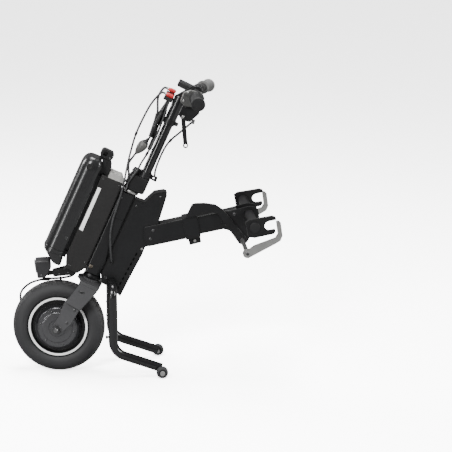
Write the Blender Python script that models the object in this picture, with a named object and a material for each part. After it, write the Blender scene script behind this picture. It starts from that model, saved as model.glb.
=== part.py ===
"""Clip-on powered front-wheel drive for a wheelchair.

The unit faces -X, its left side is -Y and +Z is up. Lengths below are in millimetres and angles in
degrees. The mesh tools here work in millimetres too, and each finished mesh is scaled to metres.

Three sets of axes are used, and each is an empty:
  frame     origin on the wheel axle, leaned back by LEAN. Points are (t, y, s): t is rearwards and
            square to the head, s is up along the head.
  steering  the same axes moved to the steering axis and turned by REST_STEER. Points are (u, y, s).
  level     origin on the floor below the axle, not leaned. Points are (x, y, z).
"""
import math

import bmesh
import bpy
from mathutils import Vector

MM = 0.001
GAP = 0.3

# Attitude
LEAN = 24.4
REST_STEER = -9.0
BEAM_RISE = 11.0

# Wheel
TYRE_DIAMETER = 254.0
TYRE_WIDTH = 54.0
TYRE_WALL = 4.5
TYRE_SECTION = 42.6
RIM_WIDTH = 44.6
RIM_LIP = 2.7
RIM_SHOULDER_STEP = 11.9
RIM_WEB_DEPTH = 9.3
MOTOR_HALF_WIDTH = 28.0
AXLE_DIAMETER = 12.0
HUB_CLEARANCE = 8.0
DISC_DIAMETER = 144.0
DISC_THICKNESS = 2.0
WHEEL_SIDES = 34
ROUND_SIDES = 24

# Fork
RAKE = 27.0
DROPOUT_INNER = 52.0
DROPOUT_THICKNESS = 6.0
LEG_THICKNESS = 7.5
LEG_TOP = 147.0
CROWN_THICKNESS = 7.7
STEERER_DIAMETER = 28.6
STEERER_IN_BLOCK = 18.2
RACE_DIAMETER = 48.0
RACE_HEIGHT = 5.0

# Head and frame
LOWER_CUP_HEIGHT = 17.0
HEAD_HEIGHT = 243.0
UPPER_CASE_HEIGHT = 74.0
HEAD_AHEAD_OF_BORE = 26.0
HEAD_BEHIND_BORE = 18.2
HEAD_HALF_WIDTH = 30.0
SEAM = 1.6
CUP_DIAMETER = 50.0
UPPER_CUP_HEIGHT = 11.3
STEM_BLOCK_HEIGHT = 43.7
GUSSET_HALF = 16.2
GUSSET_PLATE = 4.0
SLOT_COUNT = 8
SLOT_PITCH = 15.4

# Docking beam
BEAM_X = 292.7
BEAM_ABOVE_AXLE = 260.0
BEAM_WIDTH = 40.0
BEAM_HEIGHT = 57.0
BEAM_WALL = 3.5
BEAM_LENGTH = 95.0
INNER_REACH = 205.0
INNER_WALL = 3.0
DOCK_TUBE_DIAMETER = 28.0
DOCK_HALF_WIDTH = 166.0
LATCH_SHAFT_DIAMETER = 12.0
CLAMPED_TUBE = 25.4
JAW_REACH = 296.0
HOOK_REACH = 306.0
HOOK_TIP_RISE = 2.0

# Battery, controller and lamp
CASE_HALF_WIDTH = 30.0
CASE_DROP = 37.0
BATTERY_HALF_WIDTH = 45.0
BATTERY_FRONT = -125.5
BATTERY_REAR = -72.0
CARRIER_DEPTH = 8.0
BATTERY_TOP = 478.0
BATTERY_SEAM = 206.0
BUTTON_TRAVEL = 1.5
LAMP_HALF_WIDTH = 24.0
LAMP_ABOVE_AXLE = 149.0

# Column and bar
COLUMN_OFFSET = 20.5
COLUMN_DIAMETER = 25.4
COLUMN_WALL = 2.2
COLUMN_IN_SLEEVE = 65.0
SLEEVE_LENGTH = 82.0
SLEEVE_WALL = 2.2
BAR_U = 54.0
BAR_S = 748.0
BAR_ABOVE_SLEEVE = 31.0
BAR_DIAMETER = 22.2
BAR_HALF_LENGTH = 222.0
BAR_SWEEP = 7.3
BAR_BEND_AT = 60.0
GRIP_DIAMETER = 32.0
GRIP_LENGTH = 92.0
GRIP_CAP_DIAMETER = 37.0
THROTTLE_WIDTH = 15.0
PERCH_SPACING = 4.5
PERCH_WIDTH = 17.0

# Stand
STAND_X = 146.0
STAND_ABOVE_AXLE = 124.0
STAND_TUBE = 25.0
STAND_HALF_WIDTH = 80.0
STAND_KNEE_Z = 70.0
ROLLER_DIAMETER = 32.0
ROLLER_WIDTH = 18.0
ROLLER_X = 278.0

AXLE_Z = TYRE_DIAMETER / 2
LEAN_SIN = math.sin(math.radians(LEAN))
LEAN_COS = math.cos(math.radians(LEAN))
STEER_SIN = math.sin(math.radians(REST_STEER))
STEER_COS = math.cos(math.radians(REST_STEER))
AXLE_RADIUS = AXLE_DIAMETER / 2
STEERER_RADIUS = STEERER_DIAMETER / 2
COLUMN_RADIUS = COLUMN_DIAMETER / 2
SLEEVE_RADIUS = COLUMN_RADIUS + GAP + SLEEVE_WALL
BAR_RADIUS = BAR_DIAMETER / 2
LEG_INNER = DROPOUT_INNER + DROPOUT_THICKNESS
LEG_OUTER = LEG_INNER + LEG_THICKNESS
HUB_BOSS_REACH = DROPOUT_INNER - HUB_CLEARANCE
HEAD_FRONT = RAKE - HEAD_AHEAD_OF_BORE
HEAD_REAR = RAKE + HEAD_BEHIND_BORE
HEAD_BOTTOM = LEG_TOP + GAP + CROWN_THICKNESS + RACE_HEIGHT + LOWER_CUP_HEIGHT
HEAD_TOP = HEAD_BOTTOM + HEAD_HEIGHT
HEAD_STEP = HEAD_TOP - UPPER_CASE_HEIGHT
STEM_BLOCK_BOTTOM = HEAD_TOP + UPPER_CUP_HEIGHT
STEM_BLOCK_TOP = STEM_BLOCK_BOTTOM + STEM_BLOCK_HEIGHT
STEERER_TOP = STEM_BLOCK_BOTTOM + STEERER_IN_BLOCK
SLEEVE_TOP = BAR_S - BAR_ABOVE_SLEEVE
SLEEVE_BOTTOM = SLEEVE_TOP - SLEEVE_LENGTH
COLUMN_TOP = SLEEVE_BOTTOM + COLUMN_IN_SLEEVE
BEAM_Z = AXLE_Z + BEAM_ABOVE_AXLE
STAND_Z = AXLE_Z + STAND_ABOVE_AXLE
CASE_TOP = BATTERY_TOP - CASE_DROP
CASE_FRONT = BATTERY_REAR + CARRIER_DEPTH


def front_reach():
    """Distance from the straight-ahead axle to the front of the steered tyre."""
    ring = (TYRE_DIAMETER - TYRE_WIDTH) / 2
    turned = math.sqrt(1 - (STEER_SIN * LEAN_COS) ** 2)
    return ring * turned + TYRE_WIDTH / 2 - RAKE * (1 - STEER_COS) * LEAN_COS


def rear_reach():
    """Distance from the axle to the rear end of the docking latch hooks."""
    rise = math.radians(BEAM_RISE)
    return BEAM_X + HOOK_REACH * math.cos(rise) - HOOK_TIP_RISE * math.sin(rise)


def side_reach(side):
    """Distance from the wheel's middle plane to the outer end of a grip, with the fork turned."""
    sweep = math.radians(BAR_SWEEP)
    along = side * math.cos(sweep) * STEER_COS + math.sin(sweep) * STEER_SIN
    start = (BAR_U + bar_at(grip_start())) * STEER_SIN + side * grip_start() * STEER_COS
    across = math.sqrt(1 - along ** 2)
    return max(side * (start + along * y) + r * across for r, y in grip_profile())


def bar_at(y):
    """How far back the bar lies from its middle at a place along it."""
    past = max(0.0, abs(y) - BAR_BEND_AT)
    return past * math.tan(math.radians(BAR_SWEEP))


def grip_start():
    return BAR_HALF_LENGTH - GRIP_LENGTH - 2.0


def grip_profile():
    """Outline (radius, place along the bar) of a grip from its inner end."""
    bore = BAR_RADIUS + GAP
    radius = GRIP_DIAMETER / 2
    cap = GRIP_CAP_DIAMETER / 2
    length = GRIP_LENGTH
    return [
        (0, length - 1.0), (bore, length - 1.0), (bore, 0.0), (cap - 1.0, 0.0), (cap, 1.2), (cap, 3.4),
        (radius, 4.4), (radius, length - 9.0), (cap, length - 7.6), (cap, length - 1.0),
        (cap - 1.5, length + 1.0), (0, length + 1.6),
    ]


AXLE_X = (front_reach() - rear_reach()) / 2
AXLE_Y = (side_reach(-1) - side_reach(1)) / 2


def to_level(t, s):
    """Side-view place (x, z) of a frame point, from the floor below the axle."""
    return s * LEAN_SIN + t * LEAN_COS, AXLE_Z + s * LEAN_COS - t * LEAN_SIN


def from_level(x, z):
    """Frame place (t, s) of a side-view point."""
    rise = z - AXLE_Z
    return x * LEAN_COS - rise * LEAN_SIN, x * LEAN_SIN + rise * LEAN_COS


def on_beam(t, s):
    """Place (v, w) along and across the docking beam of a frame point."""
    x, z = to_level(t, s)
    rise = math.radians(BEAM_RISE)
    across, up = x - BEAM_X, z - BEAM_Z
    return across * math.cos(rise) + up * math.sin(rise), up * math.cos(rise) - across * math.sin(rise)


def steered(u, y, s):
    """Frame place (t, y, s) of a point that turns with the fork."""
    return RAKE + u * STEER_COS - y * STEER_SIN, u * STEER_SIN + y * STEER_COS, s


# Mesh tools

def clear_scene():
    for obj in list(bpy.data.objects):
        bpy.data.objects.remove(obj, do_unlink=True)


def finish(name, colour, roughness, metallic=0.0):
    """A plain material."""
    made = bpy.data.materials.new(name)
    made.use_nodes = True
    shader = made.node_tree.nodes["Principled BSDF"]
    shader.inputs["Base Color"].default_value = (*colour, 1.0)
    shader.inputs["Roughness"].default_value = roughness
    shader.inputs["Metallic"].default_value = metallic
    return made


def axes(name, parent, at, lean=0.0, turn=0.0):
    """An empty that places what is parented to it. at is in millimetres."""
    empty = bpy.data.objects.new(name, None)
    bpy.context.collection.objects.link(empty)
    empty.parent = parent
    empty.location = Vector(at) * MM
    empty.rotation_euler = (0.0, math.radians(lean), math.radians(turn))
    return empty


def place(name, bm, parent, look, sharp=35.0):
    """Turns a mesh in millimetres into a named piece in metres."""
    bmesh.ops.recalc_face_normals(bm, faces=bm.faces)
    bmesh.ops.scale(bm, vec=(MM, MM, MM), verts=bm.verts)
    mesh = bpy.data.meshes.new(name)
    bm.to_mesh(mesh)
    bm.free()
    mesh.shade_smooth()
    mesh.set_sharp_from_angle(angle=math.radians(sharp))
    mesh.materials.append(look)
    obj = bpy.data.objects.new(name, mesh)
    bpy.context.collection.objects.link(obj)
    obj.parent = parent
    return obj


def loft(rings):
    """A closed solid through rings that have the same number of points."""
    bm = bmesh.new()
    made = [[bm.verts.new(point) for point in ring] for ring in rings]
    count = len(made[0])
    for low, high in zip(made, made[1:]):
        for i in range(count):
            j = (i + 1) % count
            bm.faces.new((low[i], low[j], high[j], high[i]))
    bm.faces.new(made[0])
    bm.faces.new(reversed(made[-1]))
    return bm


def prism_y(outline, low, high):
    """Extrudes an (x, z) outline along Y."""
    return loft([[(x, y, z) for x, z in outline] for y in (low, high)])


def prism_z(outline, low, high):
    """Extrudes an (x, y) outline along Z."""
    return loft([[(x, y, z) for x, y in outline] for z in (low, high)])


def prism_x(outline, low, high):
    """Extrudes a (y, z) outline along X."""
    return loft([[(x, y, z) for y, z in outline] for x in (low, high)])


def spin(bm, profile, closed, axis, sides):
    verts = [bm.verts.new(point) for point in profile]
    edges = [bm.edges.new(pair) for pair in zip(verts, verts[1:])]
    if closed:
        edges.append(bm.edges.new((verts[-1], verts[0])))
    bmesh.ops.spin(
        bm, geom=verts + edges, axis=axis, cent=(0, 0, 0), angle=math.tau, steps=sides,
        use_merge=True, use_duplicate=False,
    )
    bmesh.ops.remove_doubles(bm, verts=bm.verts, dist=1e-4)
    return bm


def turned_y(profile, sides, centre=(0.0, 0.0)):
    """A piece turned about Y from a closed (radius, y) profile, round (x, z) centre."""
    bm = spin(bmesh.new(), [(r, y, 0) for r, y in profile], profile[0][0] > 0, (0, 1, 0), sides)
    bmesh.ops.translate(bm, vec=(centre[0], 0, centre[1]), verts=bm.verts)
    return bm


def turned_z(profile, sides, centre=(0.0, 0.0)):
    """A piece turned about Z from a closed (radius, z) profile, round (x, y) centre."""
    bm = spin(bmesh.new(), [(r, 0, z) for r, z in profile], profile[0][0] > 0, (0, 0, 1), sides)
    bmesh.ops.translate(bm, vec=(centre[0], centre[1], 0), verts=bm.verts)
    return bm


def ring_profile(inner, outer, low, high):
    return [(inner, low), (outer, low), (outer, high), (inner, high)]


def circle(radius, sides, centre=(0.0, 0.0)):
    return arc(*centre, radius, 0, 360 - 360 / sides, sides - 1)


def rod_y(radius, low, high, sides, centre=(0.0, 0.0)):
    return prism_y(circle(radius, sides, centre), low, high)


def rod_z(radius, low, high, sides, centre=(0.0, 0.0)):
    return prism_z(circle(radius, sides, centre), low, high)


def arc(cx, cz, radius, start, end, steps):
    """Points on an arc. Angles are in degrees from +X towards +Z."""
    angles = [math.radians(start + (end - start) * i / steps) for i in range(steps + 1)]
    return [(cx + radius * math.cos(a), cz + radius * math.sin(a)) for a in angles]


def rounded(outline, radius, steps=3):
    """Rounds the corners of an outline. radius is one value, or one for each corner."""
    count = len(outline)
    radii = radius if isinstance(radius, (list, tuple)) else [radius] * count
    result = []
    for i, here in enumerate(outline):
        if radii[i] <= 0:
            result.append(here)
            continue
        p = Vector(here)
        back = (Vector(outline[i - 1]) - p).normalized()
        ahead = (Vector(outline[(i + 1) % count]) - p).normalized()
        half = back.angle(ahead) / 2
        cut = radii[i] / math.tan(half)
        centre = p + (back + ahead).normalized() * (radii[i] / math.sin(half))
        first = p + back * cut - centre
        last = p + ahead * cut - centre
        for k in range(steps + 1):
            spoke = first.lerp(last, k / steps).normalized() * radii[i]
            result.append(tuple(centre + spoke))
    return result


def rounded_box(low_x, high_x, half_y, front_radius, rear_radius, steps=3):
    """An (x, y) section whose front and rear corners have their own radii."""
    corners = [(low_x, -half_y), (high_x, -half_y), (high_x, half_y), (low_x, half_y)]
    return rounded(corners, [front_radius, rear_radius, rear_radius, front_radius], steps)


def soften(obj, width, segments=1, angle=40.0):
    """Rounds the sharp edges of a piece."""
    bevel = obj.modifiers.new("soften", "BEVEL")
    bevel.width = width * MM
    bevel.segments = segments
    bevel.limit_method = "ANGLE"
    bevel.angle_limit = math.radians(angle)
    bevel.harden_normals = False
    return obj


def boolean(obj, operation, bm, label):
    """Cuts a mesh out of a piece, or joins a mesh to it."""
    tool = place(f"{obj.name}_{label}", bm, obj.parent, obj.data.materials[0])
    tool.hide_render = True
    tool.display_type = "WIRE"
    modifier = obj.modifiers.new(label, "BOOLEAN")
    modifier.operation = operation
    modifier.solver = "EXACT"
    modifier.object = tool
    return obj


def cut(obj, bm, label="cut"):
    return boolean(obj, "DIFFERENCE", bm, label)


def join(obj, bm, label="join"):
    return boolean(obj, "UNION", bm, label)


def smooth_route(points, spacing, straight=3.0):
    """Even points on a smooth curve through the points of a route, with short straight ends."""
    knots = [Vector(p) for p in points]
    knots = [2 * knots[0] - knots[1], *knots, 2 * knots[-1] - knots[-2]]
    fine = []
    for a, b, c, d in zip(knots, knots[1:], knots[2:], knots[3:]):
        for k in range(12):
            x = k / 12
            fine.append(0.5 * (2 * b + (c - a) * x + (2 * a - 5 * b + 4 * c - d) * x * x
                               + (3 * b - a - 3 * c + d) * x ** 3))
    fine.append(knots[-2])
    total = sum((b - a).length for a, b in zip(fine, fine[1:]))
    count = max(2, round(total / spacing))
    result = [fine[0]]
    walked = 0.0
    for a, b in zip(fine, fine[1:]):
        step = (b - a).length
        while step > 0 and len(result) < count and walked + step >= total * len(result) / count:
            share = (total * len(result) / count - walked) / step
            result.append(a.lerp(b, share))
        walked += step
    first, last = knots[1], knots[-2]
    start = first + (knots[2] - first).normalized() * straight
    end = last + (knots[-3] - last).normalized() * straight
    return [result[0], start, *result[1:], end, last]


def bent_route(corners, radii, steps=5):
    """A route of straight runs whose corners are rounded like a bent tube."""
    result = [Vector(corners[0])]
    for before, here, after, radius in zip(corners, corners[1:], corners[2:], radii):
        p = Vector(here)
        back = (Vector(before) - p).normalized()
        ahead = (Vector(after) - p).normalized()
        half = back.angle(ahead) / 2
        centre = p + (back + ahead).normalized() * (radius / math.sin(half))
        first = p + back * (radius / math.tan(half)) - centre
        last = p + ahead * (radius / math.tan(half)) - centre
        sweep = math.pi - 2 * half
        for k in range(steps + 1):
            x = k / steps
            spoke = (first * math.sin((1 - x) * sweep) + last * math.sin(x * sweep)) / math.sin(sweep)
            result.append(centre + spoke)
    result.append(Vector(corners[-1]))
    return result


def tube_curve(name, points, radius, parent, look, resolution=2):
    """A round tube with filled ends along a route in millimetres."""
    curve = bpy.data.curves.new(name, "CURVE")
    curve.dimensions = "3D"
    curve.bevel_depth = radius * MM
    curve.bevel_resolution = resolution
    curve.use_fill_caps = True
    spline = curve.splines.new("POLY")
    spline.points.add(len(points) - 1)
    for slot, point in zip(spline.points, points):
        slot.co = (*(Vector(point) * MM), 1.0)
    curve.materials.append(look)
    obj = bpy.data.objects.new(name, curve)
    bpy.context.collection.objects.link(obj)
    obj.parent = parent
    return obj


def tube_mesh(name, points, radius, parent, look, resolution=3):
    """The same tube as a mesh, so that other shapes can be joined to it or cut from it."""
    guide = tube_curve(f"{name}_guide", points, radius, None, look, resolution)
    mesh = bpy.data.meshes.new_from_object(guide)
    bpy.data.objects.remove(guide, do_unlink=True)
    bm = bmesh.new()
    bm.from_mesh(mesh)
    bpy.data.meshes.remove(mesh)
    bmesh.ops.remove_doubles(bm, verts=bm.verts, dist=1e-6)
    bmesh.ops.scale(bm, vec=(1 / MM, 1 / MM, 1 / MM), verts=bm.verts)
    return place(name, bm, parent, look)


# Sub-parts

def build_wheel(wheel, looks):
    """Tyre, rim, hub motor and brake disc, turned about the axle."""
    ring = (TYRE_DIAMETER - TYRE_WIDTH) / 2
    half = TYRE_WIDTH / 2
    flange = TYRE_DIAMETER / 2 - TYRE_SECTION
    rim_half = RIM_WIDTH / 2
    lip = rim_half - RIM_LIP
    bead = lip - GAP
    seat = flange - 4.7

    def casing(radius, end, way, steps):
        limit = way * math.acos((flange + end - ring) / radius)
        angles = [limit - 2 * limit * i / steps for i in range(steps + 1)]
        return [(ring + radius * math.cos(a), radius * math.sin(a)) for a in angles]

    outer = casing(half, 1.7, 1, 8)
    inner = casing(half - TYRE_WALL, -0.85, -1, 4)
    foot = [(flange + 0.6, bead), (seat + GAP, bead), (seat + GAP, bead - 4.3)]
    mirrored = [(r, -y) for r, y in foot]
    profile = outer + mirrored + inner + foot[::-1]
    place("tyre", turned_y(profile, WHEEL_SIDES), wheel, looks["tyre"], 50)

    shoulder = flange - RIM_SHOULDER_STEP
    shell = shoulder - RIM_WEB_DEPTH
    web = 12.0
    right = [
        (shoulder, web), (shoulder, rim_half), (flange, rim_half), (flange, lip),
        (seat, lip), (seat - 4.2, 9.0),
    ]
    left = [(r, -y) for r, y in right]
    rim = [(shell + GAP, -web), *left, *right[::-1], (shell + GAP, web)]
    place("rim", turned_y(rim, WHEEL_SIDES), wheel, looks["rim"])

    bore = AXLE_RADIUS + 2.4
    boss = HUB_BOSS_REACH
    inner_face = MOTOR_HALF_WIDTH
    cover = [
        (bore, -inner_face - GAP), (shell, -inner_face - GAP), (shell - 0.8, -inner_face - 3.0),
        (shell - 8.5, -inner_face - 9.0), (shell - 21.2, -inner_face - 9.8),
        (shell - 22.7, -inner_face - 11.8),
        (15.0, -inner_face - 12.2), (14.5, -boss), (bore, -boss),
    ]
    place("motor_cover", turned_y(cover, WHEEL_SIDES), wheel, looks["motor_cover"], 30)
    disc_face = boss + 2.0
    body = [
        (bore, -inner_face), (shell, -inner_face), (shell, inner_face), (shell - 1.0, inner_face + 3.0),
        (shell - 9.0, inner_face + 8.5), (30.0, inner_face + 9.5), (24.0, disc_face - GAP),
        (bore, disc_face - GAP),
    ]
    place("motor_shell", turned_y(body, WHEEL_SIDES), wheel, looks["motor"], 30)

    disc_radius = DISC_DIAMETER / 2
    disc = place(
        "brake_disc",
        turned_y(ring_profile(12.0, disc_radius, disc_face, disc_face + DISC_THICKNESS), 28),
        wheel, looks["steel"],
    )
    window_low = disc_radius * 0.42
    window_high = disc_radius * 0.76
    window_count = 6
    for i in range(window_count):
        middle = 360.0 / window_count * i
        outline = arc(0, 0, window_high, middle - 22, middle + 22, 3)
        outline += arc(0, 0, window_low, middle + 14, middle - 14, 1)
        cut(disc, prism_y(outline, disc_face - 2, disc_face + 6), f"window_{i}")


def build_axle(wheel, looks):
    """Axle and its nuts, held still by the fork."""
    shoulder = DROPOUT_INNER - GAP
    tip = LEG_OUTER + 6.5
    bearing = AXLE_RADIUS + 2.1
    left_boss = HUB_BOSS_REACH + GAP
    shoulder_radius = AXLE_RADIUS + 4.0
    half = [(shoulder_radius, left_boss), (shoulder_radius, shoulder), (AXLE_RADIUS, shoulder),
            (AXLE_RADIUS, tip - 1.0), (AXLE_RADIUS - 1.0, tip), (0, tip)]
    left = [(r, -y) for r, y in half[::-1]]
    right = [(shoulder_radius, left_boss + 2.0), *half[1:]]
    profile = left + [(bearing, -left_boss), (bearing, left_boss + 2.0)] + right
    place("axle", turned_y(profile, 16), wheel, looks["steel"])
    face = DROPOUT_INNER + DROPOUT_THICKNESS + GAP
    for side, label in ((-1, "left"), (1, "right")):
        washer = rod_y(13.0, *sorted((side * face, side * (face + 2.2))), 20)
        nut = place(f"axle_nut_{label}", washer, wheel, looks["steel"])
        hexagon = arc(0, 0, 10.6, 0, 300, 5)
        low, high = sorted((side * (face + 1.0), side * (face + 10.5)))
        join(nut, prism_y(hexagon, low, high), "hexagon")
        low, high = sorted((side * (face - 2.0), side * (face + 12.0)))
        cut(nut, rod_y(AXLE_RADIUS + GAP, low, high, 16), "thread")


def build_fork(steering, looks):
    """Crown plate with the steerer tube, and flat legs with lapped dropouts."""
    crown_low = LEG_TOP + GAP
    crown_high = crown_low + CROWN_THICKNESS
    leg_front, leg_rear = -19.5, 33.5
    crown_outline = [
        (leg_front, -LEG_OUTER), (leg_rear, -LEG_OUTER), (leg_rear, LEG_OUTER), (leg_front, LEG_OUTER),
        (-25.0, 30.0), (-35.0, 6.0), (-35.0, -6.0), (-25.0, -30.0),
    ]
    outline = rounded(crown_outline, [4, 4, 4, 4, 20, 6, 6, 20], 2)
    crown = place("fork_crown", prism_z(outline, crown_low, crown_high), steering, looks["fork"])
    race = RACE_DIAMETER / 2
    steerer = [(0, crown_low + 1.0), (race, crown_low + 1.0), (race, crown_high + RACE_HEIGHT - 2.0),
               (race - 4.0, crown_high + RACE_HEIGHT), (STEERER_RADIUS, crown_high + RACE_HEIGHT),
               (STEERER_RADIUS, STEERER_TOP), (0, STEERER_TOP)]
    join(crown, turned_z(steerer, ROUND_SIDES), "steerer")
    cut(crown, rod_z(STEERER_RADIUS - 2.8, crown_low - 5, STEERER_TOP + 5, 20), "bore")

    leg_outline = [(leg_front, LEG_TOP), (-32.2, 81.5), (10.7, 77.5), (leg_rear, LEG_TOP)]
    lap = LEG_TOP - 9.0
    dropout_outline = [(-18.0, lap), (-37.5, 76.0), (-35.5, 34.0)]
    dropout_outline += arc(-RAKE, 0, 15.0, 168, 352, 8)
    dropout_outline += [(3.0, 34.0), (8.5, 76.0), (24.0, lap)]
    slot_centre = (-1.9, LEG_TOP - 20.5)
    for side, label in ((-1, "left"), (1, "right")):
        low, high = sorted((side * LEG_INNER, side * LEG_OUTER))
        leg = place(f"fork_leg_{label}", prism_y(rounded(leg_outline, 3.0, 2), low, high), steering,
                    looks["fork"])
        soften(leg, 1.0)
        slot = [(x + 1.3 * z, z) for x, z in arc(0, 0, 3.4, 0, 330, 11)]
        slot = [(slot_centre[0] + x, slot_centre[1] + z) for x, z in slot]
        inner, outer = sorted((side * DROPOUT_INNER, side * (LEG_INNER + 0.2)))
        join(leg, prism_y(dropout_outline, inner, outer), "dropout")
        cut(leg, prism_y(slot, min(low, inner) - 5, max(high, outer) + 5), "slot")
        cut(leg, rod_y(AXLE_RADIUS + GAP, inner - 5, outer + 5, 16, (-RAKE, 0)),
            "axle_hole")


def build_caliper(steering, looks):
    """Disc brake caliper on the right dropout, straddling the disc."""
    disc_low = HUB_BOSS_REACH + 2.0
    outline = rounded([(-2.0, 58.0), (28.0, 36.0), (44.0, 50.0), (16.0, 80.0)], 4.0, 2)
    inner, outer = disc_low - 10.0, DROPOUT_INNER + DROPOUT_THICKNESS
    caliper = place("brake_caliper", prism_y(outline, inner, outer), steering, looks["black_part"])
    wheel_radius = DISC_DIAMETER / 2 + 1.5
    groove = rod_y(wheel_radius, disc_low - 1.4, disc_low + DISC_THICKNESS + 1.4, 36, (-RAKE, 0))
    cut(caliper, groove, "disc_groove")
    seat = [(-60.0, -30.0), (3.3, 34.0), (8.8, 76.0), (24.3, 138.0), (-60.0, 138.0)]
    cut(caliper, prism_y(seat, DROPOUT_INNER - GAP, outer + 5), "dropout_seat")


def build_head(frame, looks):
    """Head housing and its two bearing cups."""
    front, rear = HEAD_FRONT, HEAD_REAR
    full = rounded_box(front, rear, HEAD_HALF_WIDTH, 5.0, 16.0, 3)
    low_seam, high_seam = HEAD_STEP - SEAM / 2, HEAD_STEP + SEAM / 2
    inset = 1.0
    small = rounded_box(front + inset, rear - inset, HEAD_HALF_WIDTH - inset, 4.0, 15.0, 3)
    stack = ((full, HEAD_BOTTOM), (full, low_seam), (small, low_seam), (small, high_seam),
             (full, high_seam), (full, HEAD_TOP))
    housing = place("head_housing", loft([[(t, y, s) for t, y in ring] for ring, s in stack]), frame,
                    looks["frame"])
    cut(housing, rod_z(STEERER_RADIUS + 0.8, HEAD_BOTTOM - 5, HEAD_TOP + 5, ROUND_SIDES, (RAKE, 0)), "bore")

    cup = CUP_DIAMETER / 2
    clear = STEERER_RADIUS + 0.5
    race_top = HEAD_BOTTOM - LOWER_CUP_HEIGHT
    lower = [
        (clear, race_top + GAP), (cup - 3.0, race_top + GAP), (cup - 0.5, race_top + 3.0),
        (cup - 2.0, HEAD_BOTTOM - 4.0), (cup - 5.0, HEAD_BOTTOM - GAP), (clear, HEAD_BOTTOM - GAP),
    ]
    place("headset_lower", turned_z(lower, ROUND_SIDES, (RAKE, 0)), frame, looks["black_part"])
    upper = [
        (clear, HEAD_TOP + GAP), (cup - 4.0, HEAD_TOP + GAP), (cup - 1.0, HEAD_TOP + 4.0),
        (cup - 1.0, HEAD_TOP + 7.5), (cup - 6.0, STEM_BLOCK_BOTTOM - GAP),
        (clear, STEM_BLOCK_BOTTOM - GAP),
    ]
    place("headset_upper", turned_z(upper, ROUND_SIDES, (RAKE, 0)), frame, looks["steel"])


def gusset_outline():
    """Side plate behind the head, from the head down to the stand and back to the beam."""
    behind_head = HEAD_REAR + GAP
    return [
        (behind_head, 182.0), (58.0, 160.0), (88.0, 157.5), (119.7, 145.0), (124.1, 228.3),
        (127.6, 276.0), (126.2, 300.0), (137.2, 309.0), (133.0, 372.0), (122.5, 456.0),
        (120.0, 459.5), (111.7, 460.0), (89.7, 445.5), (82.9, 430.0), (75.4, 411.6), (63.0, 411.0),
        (behind_head, 411.0),
    ]


def build_gusset(frame, looks):
    """Two plates that join head, stand and beam, with a strip closing their top."""
    stand_t, stand_s = from_level(STAND_X, STAND_Z)
    slot_start = (104.5, 164.0)
    slot_end = (112.5, 277.0)
    run = Vector(slot_end) - Vector(slot_start)
    along = run.normalized()
    side_step = Vector((along.y, -along.x))
    for side, label in ((-1, "left"), (1, "right")):
        low, high = sorted((side * (GUSSET_HALF - GUSSET_PLATE), side * GUSSET_HALF))
        plate = place(f"gusset_{label}", prism_y(gusset_outline(), low, high), frame, looks["frame"])
        cut(plate, rod_y(STAND_TUBE / 2 + GAP, low - 5, high + 5, 20, (stand_t, stand_s)), "stand_hole")
        for i in range(SLOT_COUNT):
            centre = Vector(slot_start) + along * (SLOT_PITCH * i)
            outline = [
                tuple(centre + along * a * 4.6 + side_step * b * 2.4)
                for a, b in ((-1, -0.5), (-0.6, -1), (0.6, -1), (1, -0.5), (1, 0.5), (0.6, 1), (-0.6, 1),
                             (-1, 0.5))
            ]
            cut(plate, prism_y(outline, low - 5, high + 5), f"slot_{i}")

    cable_hole = rod_y(4.0, -GUSSET_HALF - 5, -5, 14, (58.5, 226.0))
    cut(bpy.data.objects["gusset_left"], cable_hole, "cable_hole")

    thickness = 3.0
    top = [(HEAD_REAR + GAP + 0.2, 411.0), (63.0, 411.0), (75.4, 411.6), (82.9, 430.0), (89.7, 445.5),
           (111.7, 460.0), (120.0, 459.5)]
    lower_edge = [(t - 0.1, s + GAP) for t, s in top]
    upper_edge = [(t - 1.0 if 66 < t < 100 else t, s + GAP + thickness) for t, s in top]
    strip = prism_y(lower_edge + upper_edge[::-1], -GUSSET_HALF - 1.5, GUSSET_HALF + 1.5)
    place("gusset_strip", strip, frame, looks["frame"])

    block_half = GUSSET_HALF - GUSSET_PLATE - GAP
    outline = rounded(
        [(stand_t - 22, stand_s - 12.0), (stand_t + 22, stand_s - 14.5), (stand_t + 22, stand_s + 20),
         (stand_t - 22, stand_s + 20)], 5.0, 2)
    block = place("stand_clamp", prism_y(outline, -block_half, block_half), frame, looks["black_part"])
    hole = rod_y(STAND_TUBE / 2 + GAP, -block_half - 5, block_half + 5, 20, (stand_t, stand_s))
    cut(block, hole, "tube_hole")


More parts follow.
